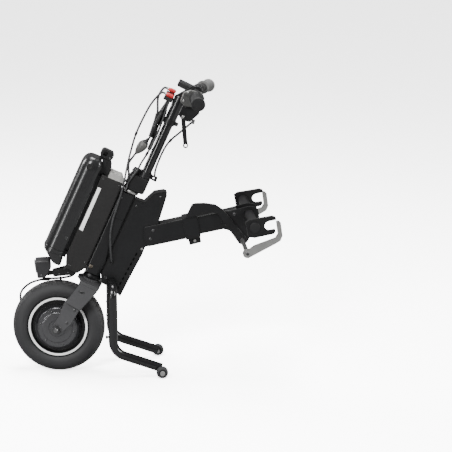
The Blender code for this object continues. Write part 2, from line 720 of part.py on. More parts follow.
def build_case(frame, looks):
    """Controller case between battery and head, its alloy cap and the battery carrier."""
    rear = HEAD_FRONT - 3.0
    outline = [(CASE_FRONT + 14.0, 164.0), (rear - 14.0, 163.0), (rear, 185.0), (rear, CASE_TOP),
               (CASE_FRONT, CASE_TOP), (CASE_FRONT, 205.0)]
    case = place(
        "controller_case",
        prism_y(rounded(outline, [3, 5, 5, 0.8, 0.8, 6], 2), -CASE_HALF_WIDTH, CASE_HALF_WIDTH),
        frame, looks["frame"])
    soften(case, 2.0, 2, 60)

    cap_front = CASE_FRONT + 18.4
    cap_outline = [(cap_front, CASE_TOP + GAP), (rear - 1.0, CASE_TOP + GAP), (rear - 4.0, CASE_TOP + 14.0),
                   (rear - 6.5, CASE_TOP + 16.5), (cap_front + 2.6, CASE_TOP + 16.5),
                   (cap_front, CASE_TOP + 14.0)]
    cap = place("controller_cap", prism_y(cap_outline, -CASE_HALF_WIDTH + 2, CASE_HALF_WIDTH - 2),
                frame, looks["alloy"])
    soften(cap, 1.2)

    carrier_front = BATTERY_REAR + GAP
    carrier_rear = CASE_FRONT - GAP
    hook = CASE_FRONT + 18.0
    carrier_foot = BATTERY_SEAM + 2.0
    carrier_outline = [
        (carrier_front, carrier_foot), (carrier_rear, carrier_foot), (carrier_rear, CASE_TOP + GAP),
        (hook, CASE_TOP + GAP), (hook, BATTERY_TOP - 10.0), (hook - 3.0, BATTERY_TOP - 8.0),
        (hook - 3.0, BATTERY_TOP - 2.0), (hook - 7.0, BATTERY_TOP + 4.0), (carrier_front, BATTERY_TOP + 4.0),
    ]
    carrier = place("battery_carrier", prism_y(carrier_outline, -13.0, 13.0), frame,
                    looks["black_part"])
    rail_low, rail_high = carrier_foot + 4.0, CASE_TOP - 5.0
    rail = prism_y([(carrier_front, rail_low), (carrier_rear, rail_low), (carrier_rear, rail_high),
                    (carrier_front, rail_high)], -26.0, 26.0)
    join(carrier, rail, "rail")
    pivot_t, pivot_s = latch_pivot()
    lug_foot = pivot_s - 10.0
    lug = arc(pivot_t, pivot_s, 5.0, 0, 180, 6) + [(pivot_t - 5.0, lug_foot), (pivot_t + 5.0, lug_foot)]
    join(carrier, prism_y(lug, -5.0, 5.0), "lug")


def build_battery(battery, looks):
    """Battery pack with its foot. The parent's origin is the tilting pivot."""
    pivot_t, pivot_s = battery_pivot()

    def section(front, rear, half, s):
        outline = rounded_box(front, rear, half, min(18.0, half * 0.42), min(9.0, half * 0.3), 4)
        return [(t - pivot_t, y, s - pivot_s) for t, y in outline]

    front, rear, half = BATTERY_FRONT, BATTERY_REAR, BATTERY_HALF_WIDTH
    top = BATTERY_TOP
    pack = place("battery_pack", loft([
        section(front - 1.0, rear, half, BATTERY_SEAM), section(front, rear, half, top - 32.0),
        section(front + 1.2, rear - 0.5, half - 1.5, top - 20.0),
        section(front + 5.5, rear - 3.0, half - 5.0, top - 9.0),
        section(front + 11.0, rear - 7.0, half - 10.0, top - 3.0),
        section(front + 18.0, rear - 12.0, half - 17.0, top),
    ]), battery, looks["battery"])
    place("battery_foot", loft([
        section(front - 1.2, rear + 0.5, half - 0.5, BATTERY_SEAM - GAP),
        section(front - 2.0, rear + 1.5, half - 1.0, BATTERY_SEAM - 12.0),
        section(front + 14.0, rear + 3.5, half - 3.0, BATTERY_SEAM - 26.0),
        section(front + 29.0, rear + 4.5, half - 6.0, BATTERY_SEAM - 38.0),
        section(front + 34.0, rear + 3.0, half - 10.0, BATTERY_SEAM - 41.3),
    ]), battery, looks["battery"])

    button_t, button_s, button_radius = front + 21.5 - pivot_t, top - 26.0 - pivot_s, 7.0
    recess = 6.0
    cut(pack, rod_y(button_radius + GAP, -half - 5, -half + recess, 20, (button_t, button_s)), "button_recess")
    back, face = -half + recess - GAP - BUTTON_TRAVEL, -half - 1.4
    knob = [(0, back), (button_radius, back), (button_radius, face + 1.0), (button_radius - 1.0, face),
            (0, face)]
    place("battery_button", turned_y(knob, 20, (button_t, button_s)), battery, looks["button"])


def battery_pivot():
    return BATTERY_REAR + 2.0, BATTERY_SEAM - 16.0


def latch_pivot():
    return CASE_FRONT + 4.0, BATTERY_TOP + 10.0


def build_latch_handle(handle, looks):
    """Loop handle that frees the battery. The parent's origin is its pivot."""
    outline = rounded([(-28.0, -3.5), (-2.0, -5.0), (6.5, -5.0), (6.5, 18.0), (-28.0, 20.0)],
                      [5, 2, 5, 7, 9], 2)
    half = 15.0
    body = place("latch_handle", prism_y(outline, -half, half), handle, looks["battery"])
    soften(body, 1.5)
    window = rounded([(-22.5, 2.0), (-11.5, 1.5), (-10.0, 13.5), (-22.5, 14.5)], 3.0, 2)
    cut(body, prism_y(window, -half - 5, half + 5), "window")
    lug_way = [(-9.0, -13.0), (15.0, -13.0), (15.0, 10.0), (-9.0, 10.0)]
    cut(body, prism_y(lug_way, -5.0 - GAP, 5.0 + GAP), "lug_way")


def lamp_pivot():
    return -44.0, 0.0, AXLE_Z + LAMP_ABOVE_AXLE


def build_lamp_bracket(level, looks):
    """Strip under the controller case, with a narrow nose that carries the lamp."""
    px, _, pz = lamp_pivot()
    foot = 157.8
    strip_front = -15.0
    outline = [(strip_front, pz + 2.2), (20.0, pz + 8.6), to_level(-44.0, foot), to_level(-18.0, foot),
               to_level(-17.0, 163.0 - GAP), to_level(-48.0, 163.9 - GAP), (16.0, pz + 12.2),
               (strip_front, pz + 5.9)]
    bracket = place("lamp_bracket", prism_y(outline, -20.0, 20.0), level, looks["frame"])
    nose = arc(px, pz, 5.5, 99, 279, 6)
    nose += [(strip_front + 3.0, pz + 2.8), (strip_front + 3.0, pz + 6.0)]
    join(bracket, prism_y(nose, -5.5, 5.5), "nose")


def build_lamp(lamp, looks):
    """Headlamp that straddles the bracket's nose. The parent's origin is its tilting screw."""
    outline = [(-17.5, 41.0), (24.0, 42.5), (26.5, 22.0), (10.0, -6.5), (-11.5, -8.2)]
    housing = place("lamp_housing",
                    prism_y(rounded(outline, [5, 7, 8, 6, 4], 2), -LAMP_HALF_WIDTH, LAMP_HALF_WIDTH),
                    lamp, looks["frame"])
    soften(housing, 4.0, 2, 60)
    window = LAMP_HALF_WIDTH - 6.0
    recess = [(-23.0, 44.0), (-15.0, 35.5), (-10.6, 8.0), (-18.0, -1.0)]
    cut(housing, prism_y(recess, -window, window), "lens_recess")
    way = arc(0, 0, 7.5, 75, 215, 6) + [(-8.0, -14.0), (34.0, -14.0), (34.0, 17.0), (18.0, 15.0)]
    cut(housing, prism_y(way, -5.5 - GAP, 5.5 + GAP), "nose_way")
    glass = [(-17.0, 35.0), (-15.3, 35.0), (-11.4, 8.6), (-13.1, 8.6)]
    place("lamp_lens", prism_y(glass, -window + GAP, window - GAP), lamp, looks["lens"])


def stand_route():
    """Centre line of the bent stand tube, from the left roller to the right one."""
    knee = STAND_KNEE_Z - STAND_Z
    end = (ROLLER_X - 2.0 - STAND_X, ROLLER_DIAMETER / 2 + 6.0 - STAND_Z)
    left = -STAND_HALF_WIDTH
    corners = [
        (end[0], left, end[1]), (0, left, knee), (0, left, 0), (0, -left, 0), (0, -left, knee),
        (end[0], -left, end[1]),
    ]
    return bent_route(corners, [46.0, 28.0, 28.0, 46.0], 4)


def build_stand(stand, looks):
    """Stand bent from one tube, with a roller pin through each end. The origin is its pivot."""
    tube = tube_mesh("stand_tube", stand_route(), STAND_TUBE / 2, stand, looks["frame"])
    roller_x = ROLLER_X - STAND_X
    roller_z = ROLLER_DIAMETER / 2 - STAND_Z
    pin_tip = STAND_HALF_WIDTH + STAND_TUBE / 2 + GAP + ROLLER_WIDTH + 4.0
    for side, label in ((-1, "left"), (1, "right")):
        low, high = sorted((side * STAND_HALF_WIDTH, side * pin_tip))
        join(tube, rod_y(4.0, low, high, 14, (roller_x, roller_z)), f"pin_{label}")
        low, high = sorted((side * (pin_tip - 2.8), side * pin_tip))
        join(tube, rod_y(7.0, low, high, 14, (roller_x, roller_z)), f"head_{label}")


def roller_middle():
    return STAND_HALF_WIDTH + STAND_TUBE / 2 + GAP + ROLLER_WIDTH / 2


def build_roller(name, roller, looks):
    radius = ROLLER_DIAMETER / 2
    half = ROLLER_WIDTH / 2
    bore = 4.0 + 0.35
    profile = [
        (bore, -half), (9.0, -half), (radius - 2.5, -half + 1.2), (radius, -half + 3.6),
        (radius, half - 3.6), (radius - 2.5, half - 1.2), (9.0, half), (bore, half),
    ]
    place(name, turned_y(profile, 20), roller, looks["roller"])


def rectangle(half_y, half_z):
    return [(-half_y, -half_z), (half_y, -half_z), (half_y, half_z), (-half_y, half_z)]


def build_beam(beam, looks):
    """Outer docking beam, which straddles the gusset, and its clamping collar."""
    half_y, half_z = BEAM_WIDTH / 2, BEAM_HEIGHT / 2
    front = -62.0
    outer = place("beam_outer", prism_x(rounded(rectangle(half_y, half_z), 3.0, 2), front, BEAM_LENGTH),
                  beam, looks["frame"])
    hollow = rectangle(half_y - BEAM_WALL, half_z - BEAM_WALL)
    cut(outer, prism_x(hollow, front - 5, BEAM_LENGTH + 5), "hollow")
    plate = [on_beam(*point) for point in gusset_outline()]
    plate_rear = max(v for v, w in plate if abs(w) < half_z)
    slot = prism_x(rectangle(GUSSET_HALF + GAP, half_z + 5), front - 5, plate_rear + 5.0)
    cut(outer, slot, "gusset_slot")
    nose = [(front - 1, half_z + 1), (front - 1, -half_z - 1), (front + 12, -half_z - 1), (front + 4, 0),
            (front + 12, half_z + 1)]
    cut(outer, prism_y(nose, -half_y - 5, half_y + 5), "nose")

    collar_low, collar_high = BEAM_LENGTH - 41.0, BEAM_LENGTH + 1.0
    collar = place(
        "beam_collar",
        prism_x(rounded(rectangle(half_y + GAP + 2.8, half_z + GAP + 3.2), 4.0, 2), collar_low,
                collar_high - 2.5),
        beam, looks["frame"])
    lug_low, lug_high = collar_low + 6.0, collar_high - 3.0
    lug = prism_y(rounded([(lug_low, -half_z - 22.0), (lug_high, -half_z - 20.5), (lug_high, -half_z + 1),
                           (lug_low, -half_z + 1)], [3, 3, 0.5, 0.5], 2), -11.0, 11.0)
    join(collar, lug, "lug")
    cut(collar, prism_x(rectangle(half_y + GAP, half_z + GAP), collar_low - 5, collar_high + 5), "way")
    cut(collar, prism_y([(lug_low - 5.0, -half_z - 30.0), (lug_high + 5.0, -half_z - 30.0),
                         (lug_high + 5.0, -half_z - 0.5), (lug_low - 5.0, -half_z - 0.5)], -1.5, 1.5),
        "split")
    screw = rod_y(3.3, -16.0, 16.0, 14, (collar_low + 22.0, -half_z - 12.0))
    cut(collar, screw, "screw_hole")


def build_dock(dock, looks):
    """Inner beam with the docking frame: side plates, cross tube and two open jaws."""
    half_y = BEAM_WIDTH / 2 - BEAM_WALL - GAP
    half_z = BEAM_HEIGHT / 2 - BEAM_WALL - GAP
    inner = place("beam_inner", prism_x(rounded(rectangle(half_y, half_z), 2.0, 2), -4.0, INNER_REACH),
                  dock, looks["frame"])
    hollow = rectangle(half_y - INNER_WALL, half_z - INNER_WALL)
    cut(inner, prism_x(hollow, -10.0, INNER_REACH + 5), "hollow")

    tube_at = dock_tube_place()
    shaft_at = latch_shaft_place()
    tube_radius = DOCK_TUBE_DIAMETER / 2
    tube = rod_y(tube_radius, -DOCK_HALF_WIDTH, DOCK_HALF_WIDTH, 20, tube_at)
    frame = place("dock_frame", tube, dock, looks["frame"])

    outline = [(158.0, -22.0), (158.0, 22.0), (240.0, 25.0), (262.0, 17.0), (262.0, -13.0),
               (217.0, -72.0), (204.0, -78.0), (190.0, -66.0), (180.0, -34.0)]
    outline = rounded(outline, [6, 6, 12, 8, 8, 8, 6, 8, 20], 1)
    grip = CLAMPED_TUBE / 2 + 0.5
    slot_v, slot_w = JAW_REACH - 21.0, -2.0
    lip = JAW_REACH - 8.0
    jaw = [(214.0, -20.0), (214.0, 20.0), (225.0, 25.0), (lip, 22.0), (JAW_REACH, 17.0),
           (JAW_REACH, slot_w + grip)]
    jaw += arc(slot_v, slot_w, grip, 90, 270, 7)
    jaw += [(lip, slot_w - grip), (lip, -21.0), (lip - 6.0, -26.0), (230.0, -26.0)]
    plate_low = half_y + GAP
    for side, label in ((-1, "left"), (1, "right")):
        low, high = sorted((side * plate_low, side * (plate_low + 5.0)))
        join(frame, prism_y(outline, low, high), f"plate_{label}")
        hole = rod_y(LATCH_SHAFT_DIAMETER / 2 + GAP, low - 5, high + 5, 14, shaft_at)
        cut(frame, hole, f"shaft_hole_{label}")
        low, high = sorted((side * (DOCK_HALF_WIDTH - 14.0), side * (DOCK_HALF_WIDTH - 1.0)))
        join(frame, prism_y(jaw, low, high), f"jaw_{label}")
    bore = rod_y(tube_radius - 3.0, -DOCK_HALF_WIDTH - 5, DOCK_HALF_WIDTH + 5, 16, tube_at)
    cut(frame, bore, "bore")


def dock_tube_place():
    return 236.0, 2.0


def latch_shaft_place():
    return 203.0, -62.0


def build_latch(latch, looks):
    """Latch shaft with a hook at each end, and the release lever on it. The origin is the shaft."""
    sv, sw = latch_shaft_place()
    radius = LATCH_SHAFT_DIAMETER / 2
    reach = DOCK_HALF_WIDTH + 9.0
    hooks = place("latch_hooks", rod_y(radius, -reach, reach, 16), latch, looks["steel"])
    tip = HOOK_REACH
    hook = arc(0, 0, 13.0, 60, 270, 7)
    hook += [(x - sv, z - sw) for x, z in (
        (tip - 26.0, -52.0), (tip - 10.0, -46.0), (tip - 2.0, -34.0), (tip, HOOK_TIP_RISE),
        (tip - 5.0, 9.0), (tip - 12.0, 9.0), (tip - 13.0, -8.0), (tip - 14.0, -26.0),
        (tip - 22.0, -35.0), (225.0, -44.0))]
    for side, label in ((-1, "left"), (1, "right")):
        low, high = sorted((side * (DOCK_HALF_WIDTH + GAP), side * (DOCK_HALF_WIDTH + 7.0)))
        join(hooks, prism_y(hook, low, high), f"hook_{label}")

    lever = arc(0, 0, 13.0, 215, 395, 6)
    lever += [(x - sv, z - sw) for x, z in (
        (168.0, 34.0), (150.0, 52.0), (124.0, 62.0), (98.0, 67.0), (88.0, 66.0), (63.0, 33.0),
        (66.0, 31.0), (140.0, 31.0), (152.0, 24.0))]
    low = -(BEAM_WIDTH / 2 + 9.5)
    piece = place("release_lever", prism_y(lever, low, low + 5.0), latch, looks["black_part"])
    soften(piece, 0.8)
    cut(piece, rod_y(radius + GAP, low - 5, low + 10, 18), "shaft_hole")


def build_column(steering, looks):
    """Offset stem block, column tube and the clamp ring at its foot."""
    outline = rounded([(-20.0, STEM_BLOCK_BOTTOM), (37.0, STEM_BLOCK_BOTTOM), (37.0, STEM_BLOCK_TOP),
                       (-20.0, STEM_BLOCK_TOP)], [4, 6, 3, 6], 2)
    block = place("stem_block", prism_y(outline, -19.0, 19.0), steering, looks["frame"])
    soften(block, 2.0, 2, 60)
    cut(block, rod_z(STEERER_RADIUS + GAP, STEM_BLOCK_BOTTOM - 5, STEERER_TOP + 0.5, ROUND_SIDES),
        "steerer_hole")
    column_foot = STEERER_TOP + 4.5
    cut(block, rod_z(COLUMN_RADIUS + GAP, column_foot, STEM_BLOCK_TOP + 5, ROUND_SIDES, (COLUMN_OFFSET, 0)),
        "column_hole")

    tube = ring_profile(COLUMN_RADIUS - COLUMN_WALL, COLUMN_RADIUS, column_foot + GAP, COLUMN_TOP)
    place("column_tube", turned_z(tube, ROUND_SIDES, (COLUMN_OFFSET, 0)), steering, looks["frame"])

    ring_low, ring_high = STEM_BLOCK_TOP + GAP, STEM_BLOCK_TOP + 17.0
    inner, outer = COLUMN_RADIUS + GAP, COLUMN_RADIUS + 4.0
    ring = place("column_clamp", turned_z(ring_profile(inner, outer, ring_low, ring_high), ROUND_SIDES,
                                          (COLUMN_OFFSET, 0)), steering, looks["frame"])
    front_wall = COLUMN_OFFSET - inner - 0.5
    rear_wall = COLUMN_OFFSET + inner + 1.5
    ear = rounded([(-17.0, ring_low + 1), (front_wall, ring_low + 1), (front_wall, ring_high - 1),
                   (-17.0, ring_high - 1)], [6, 0, 0, 6], 2)
    join(ring, prism_y(ear, -9.0, 9.0), "front_ear")
    tab = rounded([(rear_wall, ring_low + 3), (55.0, ring_low + 1), (53.0, ring_high - 1),
                   (rear_wall, ring_high - 2)], [0, 2, 2, 0], 2)
    join(ring, prism_y(tab, -3.0, 3.0), "rear_tab")
    cut(ring, rod_y(2.4, -10, 10, 12, (44.0, ring_low + 8.5)), "tab_hole")
    cut(ring, rod_y(3.3, -15, 15, 12, knob_place()), "knob_hole")


def knob_place():
    return -9.5, STEM_BLOCK_TOP + 9.5


def build_knob(knob, looks):
    """Clamp knob of the column. The origin is the screw's axis at the middle of the ear."""
    lobes = 8
    outline = []
    for i in range(lobes * 3):
        swell = 8.6 if i % 3 else 7.6
        angle = math.tau * i / (lobes * 3)
        outline.append((swell * math.cos(angle), swell * math.sin(angle)))
    head = place("column_knob", prism_y(outline, -19.5, -9.0 - GAP), knob, looks["black_part"])
    join(head, rod_y(3.0, -12.0, 12.0, 12), "screw")


def build_riser(riser, looks):
    """Sleeve over the column with the neck that holds the bar. The origin is the column's axis."""
    sleeve = rod_z(SLEEVE_RADIUS, SLEEVE_BOTTOM, SLEEVE_TOP, ROUND_SIDES)
    stem = place("riser_stem", sleeve, riser, looks["frame"])
    bar = (BAR_U - COLUMN_OFFSET, BAR_S)
    neck = [(-12.5, SLEEVE_TOP - 26), (-13.0, SLEEVE_TOP - 1), (bar[0] - 14, bar[1] + 12),
            (bar[0] + 4, bar[1] + 10), (bar[0] + 14, bar[1] - 9), (13.0, SLEEVE_TOP - 22)]
    join(stem, prism_y(rounded(neck, 4.0, 1), -12.0, 12.0), "neck")
    join(stem, rod_y(BAR_RADIUS + 5.5, -21.0, 21.0, 24, bar), "bar_clamp")
    cut(stem, rod_z(COLUMN_RADIUS + GAP, SLEEVE_BOTTOM - 5, COLUMN_TOP + 3.0, ROUND_SIDES), "column_hole")
    cut(stem, rod_y(BAR_RADIUS + GAP, -25, 25, 24, bar), "bar_hole")


def swept(bm, side, start):
    """Turns a mesh made along Y so that it lies on the swept end of the bar."""
    turn = Vector((0, 1, 0)).rotation_difference(
        Vector((math.sin(math.radians(BAR_SWEEP)) * side, math.cos(math.radians(BAR_SWEEP)), 0)))
    bmesh.ops.rotate(bm, verts=bm.verts, cent=(0, 0, 0), matrix=turn.to_matrix())
    bmesh.ops.translate(bm, vec=(bar_at(start), side * abs(start), 0), verts=bm.verts)
    return bm


def swept_axes(name, bar, side):
    """Axes at the inner end of a grip, with Y along the swept end of the bar."""
    return axes(name, bar, (bar_at(grip_start()), side * grip_start(), 0), 0, -side * BAR_SWEEP)


def build_bar(bar, looks):
    """Handlebar, right grip, throttle housing, lever perch and display. The origin is the bar."""
    end = grip_start() + (GRIP_LENGTH - 1.0 - 2 * GAP) * math.cos(math.radians(BAR_SWEEP))
    corners = [(bar_at(end), -end, 0), (0, -BAR_BEND_AT, 0), (0, BAR_BEND_AT, 0), (bar_at(end), end, 0)]
    tube_curve("handlebar", bent_route(corners, [90.0, 90.0], 3), BAR_RADIUS, bar, looks["frame"], 3)

    build_grip("grip_right", swept_axes("grip_seat", bar, 1), 1, looks)

    housing = place("throttle_body", throttle_block(), bar, looks["silver"])
    soften(housing, 2.0, 1, 50)
    hole = rod_y(BAR_RADIUS + GAP, -10, 30, 24)
    cut(housing, swept(hole, -1, grip_start()), "bar_hole")

    perch = place("brake_perch", perch_block(), bar, looks["black_part"])
    soften(perch, 1.5, 1, 50)
    middle = perch_place()
    low, high = -middle - 4.0, -middle + 4.0
    pivot_x, pivot_z = lever_pivot()
    cut(perch, swept(rod_y(BAR_RADIUS + GAP, -20, 20, 18), -1, middle), "bar_hole")
    cut(perch, rod_y(9.5, low, high, 10, (pivot_x, pivot_z)), "lever_slot")
    way = [(pivot_x - 12, pivot_z - 38.0), (pivot_x + 24, pivot_z - 38.0), (pivot_x + 24, pivot_z - 2),
           (pivot_x - 12, pivot_z - 2)]
    cut(perch, prism_y(way, low, high), "lever_way")

    screen = rounded([(-56.0, -5.0), (-14.0, -7.0), (-14.0, 3.0), (-56.0, 4.0)], 2.5, 2)
    display = place("display", prism_y(screen, 26.0, 84.0), bar, looks["black_part"])
    soften(display, 1.5, 1, 50)
    arm = prism_y([(-22.0, -6.0), (0.0, -BAR_RADIUS - 5.0), (4.0, BAR_RADIUS + 4.0), (-22.0, 2.0)],
                  28.0, 42.0)
    join(display, arm, "arm")
    join(display, rod_y(BAR_RADIUS + 5, 28, 42, 18), "ring")
    cut(display, rod_y(BAR_RADIUS + GAP, 20, 55, 18), "bar_hole")


def build_grip(name, parent, side, looks):
    """Grip with a flange and a rounded end cap, made along Y from the parent's origin."""
    grip = turned_y([(r, side * y) for r, y in grip_profile()], 20)
    place(name, grip, parent, looks["grip"], 30)


def throttle_block():
    """Throttle housing in front of the bar, just inboard of the twist grip."""
    outline = [(-36.0, -26.0), (-18.0, -31.0), (12.0, -22.0), (20.0, -6.0), (20.0, 8.0), (8.0, 20.0),
               (-24.0, 14.0), (-38.0, 2.0)]
    return swept(prism_y(rounded(outline, 5.0, 2), GAP, THROTTLE_WIDTH), -1, grip_start())


def perch_place():
    """Middle of the brake lever perch along the bar."""
    return grip_start() - THROTTLE_WIDTH - PERCH_SPACING - PERCH_WIDTH / 2


def perch_block():
    """Brake lever perch hanging under the bar."""
    middle = bar_at(perch_place())
    outline = [(middle - 20.0, -42.0), (middle - 20.0, -66.0), (middle - 8.0, -72.0),
               (middle + 12.0, -66.0), (middle + 25.0, -36.0), (middle + 20.0, -20.0),
               (middle + 17.0, 0.0), (middle + 12.0, 12.0), (middle, 17.0), (middle - 12.0, 12.0),
               (middle - 17.0, 0.0)]
    low = -perch_place() - PERCH_WIDTH / 2
    return prism_y(rounded(outline, 3.0, 1), low, low + PERCH_WIDTH)


def lever_pivot():
    """Pivot of the brake lever, from the middle of the bar."""
    return bar_at(perch_place()) - 10.0, -62.0


def build_lever(lever, looks):
    """Brake lever that hangs down and ends in a ring. The origin is its pivot."""
    reach = Vector((38.0, -68.0))
    along = reach.normalized()
    side = Vector((-along.y, along.x))

    def spot(a, b):
        return tuple(along * a + side * b)

    length = reach.length
    outline = [spot(-5.0, -4.5), spot(6.0, -5.2), spot(length - 8.0, -3.2), spot(length - 4.0, -5.5)]
    outline += [spot(length + 7.0 * math.cos(a), 7.0 * math.sin(a))
                for a in [math.radians(-75 + 30 * i) for i in range(6)]]
    outline += [spot(length - 4.0, 5.5), spot(length - 8.0, 3.2), spot(6.0, 5.2), spot(-5.0, 4.5)]
    piece = place("brake_lever", prism_y(outline, -3.6, 3.6), lever, looks["black_part"])
    soften(piece, 1.0, 1, 50)
    cut(piece, rod_y(3.4, -10, 10, 16, (reach.x, reach.y)), "ring_hole")


def build_plugs(riser, looks):
    """Clip on the riser with two red cable plugs standing on it."""
    front = -SLEEVE_RADIUS - GAP
    low = SLEEVE_TOP - 23.0
    high = low + 9.0
    clip = place("cable_clip", prism_y(rounded([(front - 25.0, low), (front, low), (front, high),
                                                (front - 25.0, high)], 1.5, 2), -17.0, 19.0),
                 riser, looks["black_part"])
    step = prism_y([(front - 25.0, high - 1.0), (front - 1.0, high - 1.0), (front - 1.0, high + 12.0),
                    (front - 25.0, high + 12.0)], 4.0, 19.0)
    join(clip, step, "step")
    for label, y, s in (("near", -9.0, high + 6.3), ("far", 11.5, high + 18.3)):
        profile = [(0, front - 24.0), (4.0, front - 24.0), (5.0, front - 22.5), (5.0, front - 14.0),
                   (6.0, front - 13.0), (6.0, front - 3.0), (4.5, front - 1.5), (0, front - 1.5)]
        bm = turned_z(profile, 16)
        turn = Vector((0, 0, 1)).rotation_difference(Vector((1, 0, 0))).to_matrix()
        bmesh.ops.rotate(bm, verts=bm.verts, cent=(0, 0, 0), matrix=turn)
        bmesh.ops.translate(bm, vec=(0, y, s), verts=bm.verts)
        place(f"red_plug_{label}", bm, riser, looks["red"])


def junction_ends():
    """Lower and upper end of the cable junction in frame coordinates."""
    return Vector(steered(-27.0, -8.0, 527.4)), Vector(steered(-13.0, -7.0, 574.6))


def build_cables(frame, looks):
    """Cables that run from the bar to the frame, along their real routes."""
    thin, middle = 2.3, 2.6
    column_front = COLUMN_OFFSET - SLEEVE_RADIUS
    tip = column_front - 24.0 - 2 * GAP
    low, high = junction_ends()
    along = (high - low).normalized()

    route = [steered(tip, -9.0, 709.3), steered(tip - 5.0, -9.0, 709.3),
             steered(tip - 12.0, -9.0, 706.0), steered(-41.0, -9.5, 680.0),
             steered(-46.5, -10.0, 645.0), steered(-48.0, -12.0, 578.0), steered(-40.0, -19.0, 520.0),
             steered(-31.5, -28.0, 480.0), (-3.0, -33.8, 452.0), (2.0, -34.0, 425.0),
             (7.0, -33.8, 385.0), (11.0, -33.6, 345.0), (20.0, -33.6, 305.0), (34.0, -33.0, 272.0),
             (48.0, -29.5, 244.0), (57.0, -24.0, 228.0), (58.5, -19.0, 226.0), (58.5, -13.5, 226.0)]
    tube_curve("brake_cable", smooth_route(route, 16.0), thin, frame, looks["cable"])

    route = [steered(tip, 11.5, 721.3), steered(tip - 5.0, 11.5, 721.3),
             steered(tip - 12.0, 9.5, 717.0), steered(-34.0, 0.0, 690.0),
             steered(-18.0, -6.0, 650.0), steered(-12.0, -7.0, 605.0), high + along * 9.0,
             high + along * 0.4]
    tube_curve("power_cable_upper", smooth_route(route, 14.0), middle, frame, looks["cable"])

    cap_rear = -5.0
    cap_middle = CASE_TOP + 8.0
    route = [low - along * 0.4, low - along * 9.0, steered(-33.0, -16.0, 495.0), (2.0, -20.5, 471.0),
             (5.0, -21.0, 458.0), (3.0, -21.0, cap_middle + 1.5), (0.5, -21.0, cap_middle),
             (cap_rear + 1.0, -21.0, cap_middle)]
    tube_curve("power_cable_lower", smooth_route(route, 9.0), middle, frame, looks["cable"])

    clip_foot = 694.0 - GAP
    beside = -19.0 - thin - 1.2
    route = [steered(column_front - 8.0, -9.0, clip_foot), steered(column_front - 7.0, -9.5, 675.0),
             steered(2.0, -10.0, 640.0), steered(4.5, -12.0, 590.0), steered(1.0, -15.5, 540.0),
             steered(-3.0, -19.5, 510.0), steered(-4.0, beside, 492.0), steered(-9.0, beside, 470.0),
             steered(-13.5, beside, 448.0), (10.5, -26.5, 431.0), (9.0, -31.0, 424.0)]
    tube_curve("column_cable", smooth_route(route, 15.0), thin, frame, looks["cable"])

    clamp_top = STEM_BLOCK_TOP + 17.0
    perch = perch_place()
    outer = BAR_U + lever_pivot()[0] + 28.87
    route = [steered(outer, 0.5 - perch, BAR_S - 64.0), steered(outer - 4.0, 3.0 - perch, BAR_S - 72.0),
             steered(60.0, -60.0, 640.0),
             steered(44.0, -18.0, 600.0), steered(38.0, -4.0, 570.0), steered(37.5, 0.0, 530.0),
             steered(40.0, 0.0, 505.0), steered(44.0, 0.0, clamp_top - 0.9)]
    tube_curve("lever_cable", smooth_route(route, 15.0), thin, frame, looks["cable"])


def build_junction(frame, looks):
    """Drop-shaped cable junction in front of the column."""
    low, high = junction_ends()
    length = (high - low).length
    profile = [(0, 0), (3.4, 0), (9.0, length * 0.2), (13.0, length * 0.45), (13.5, length * 0.62),
               (9.5, length * 0.82), (5.0, length * 0.93), (3.4, length), (0, length)]
    bm = turned_z(profile, 16)
    turn = Vector((0, 0, 1)).rotation_difference((high - low).normalized()).to_matrix()
    bmesh.ops.rotate(bm, verts=bm.verts, cent=(0, 0, 0), matrix=turn)
    bmesh.ops.translate(bm, vec=low, verts=bm.verts)
    place("cable_junction", bm, frame, looks["junction"])


def build_motor_cable(frame, looks):
    """Motor cable from the lamp bracket over the tyre to the right end of the axle."""
    route = []
    for x, y, rise in ((46.0, 0.0, 150.6), (44.0, 0.0, 145.5), (36.0, 0.0, 140.0), (20.0, 0.0, 136.8),
                       (4.0, 0.0, 135.0), (-20.0, 1.0, 133.8), (-46.0, 4.0, 130.5),
                       (-76.0, 12.0, 119.0), (-99.0, 26.0, 95.0)):
        t, s = from_level(x, AXLE_Z + rise)
        route.append((t, y, s))
    tip = LEG_OUTER + 6.5 + 2 * GAP
    for u, y, s in ((-155.0, 34.0, 14.0), (-138.0, 41.0, -8.0), (-112.0, 52.0, -17.0),
                    (-86.0, 66.0, -17.0), (-64.0, tip + 8.0, -12.0), (-48.0, tip + 16.0, -6.0),
                    (-37.0, tip + 16.0, -2.0), (-29.5, tip + 12.0, 0.0), (-27.0, tip + 6.0, 0.0),
                    (-27.0, tip, 0.0)):
        route.append(steered(u, y, s))
    tube_curve("motor_cable", smooth_route(route, 15.0), 2.6, frame, looks["cable"])


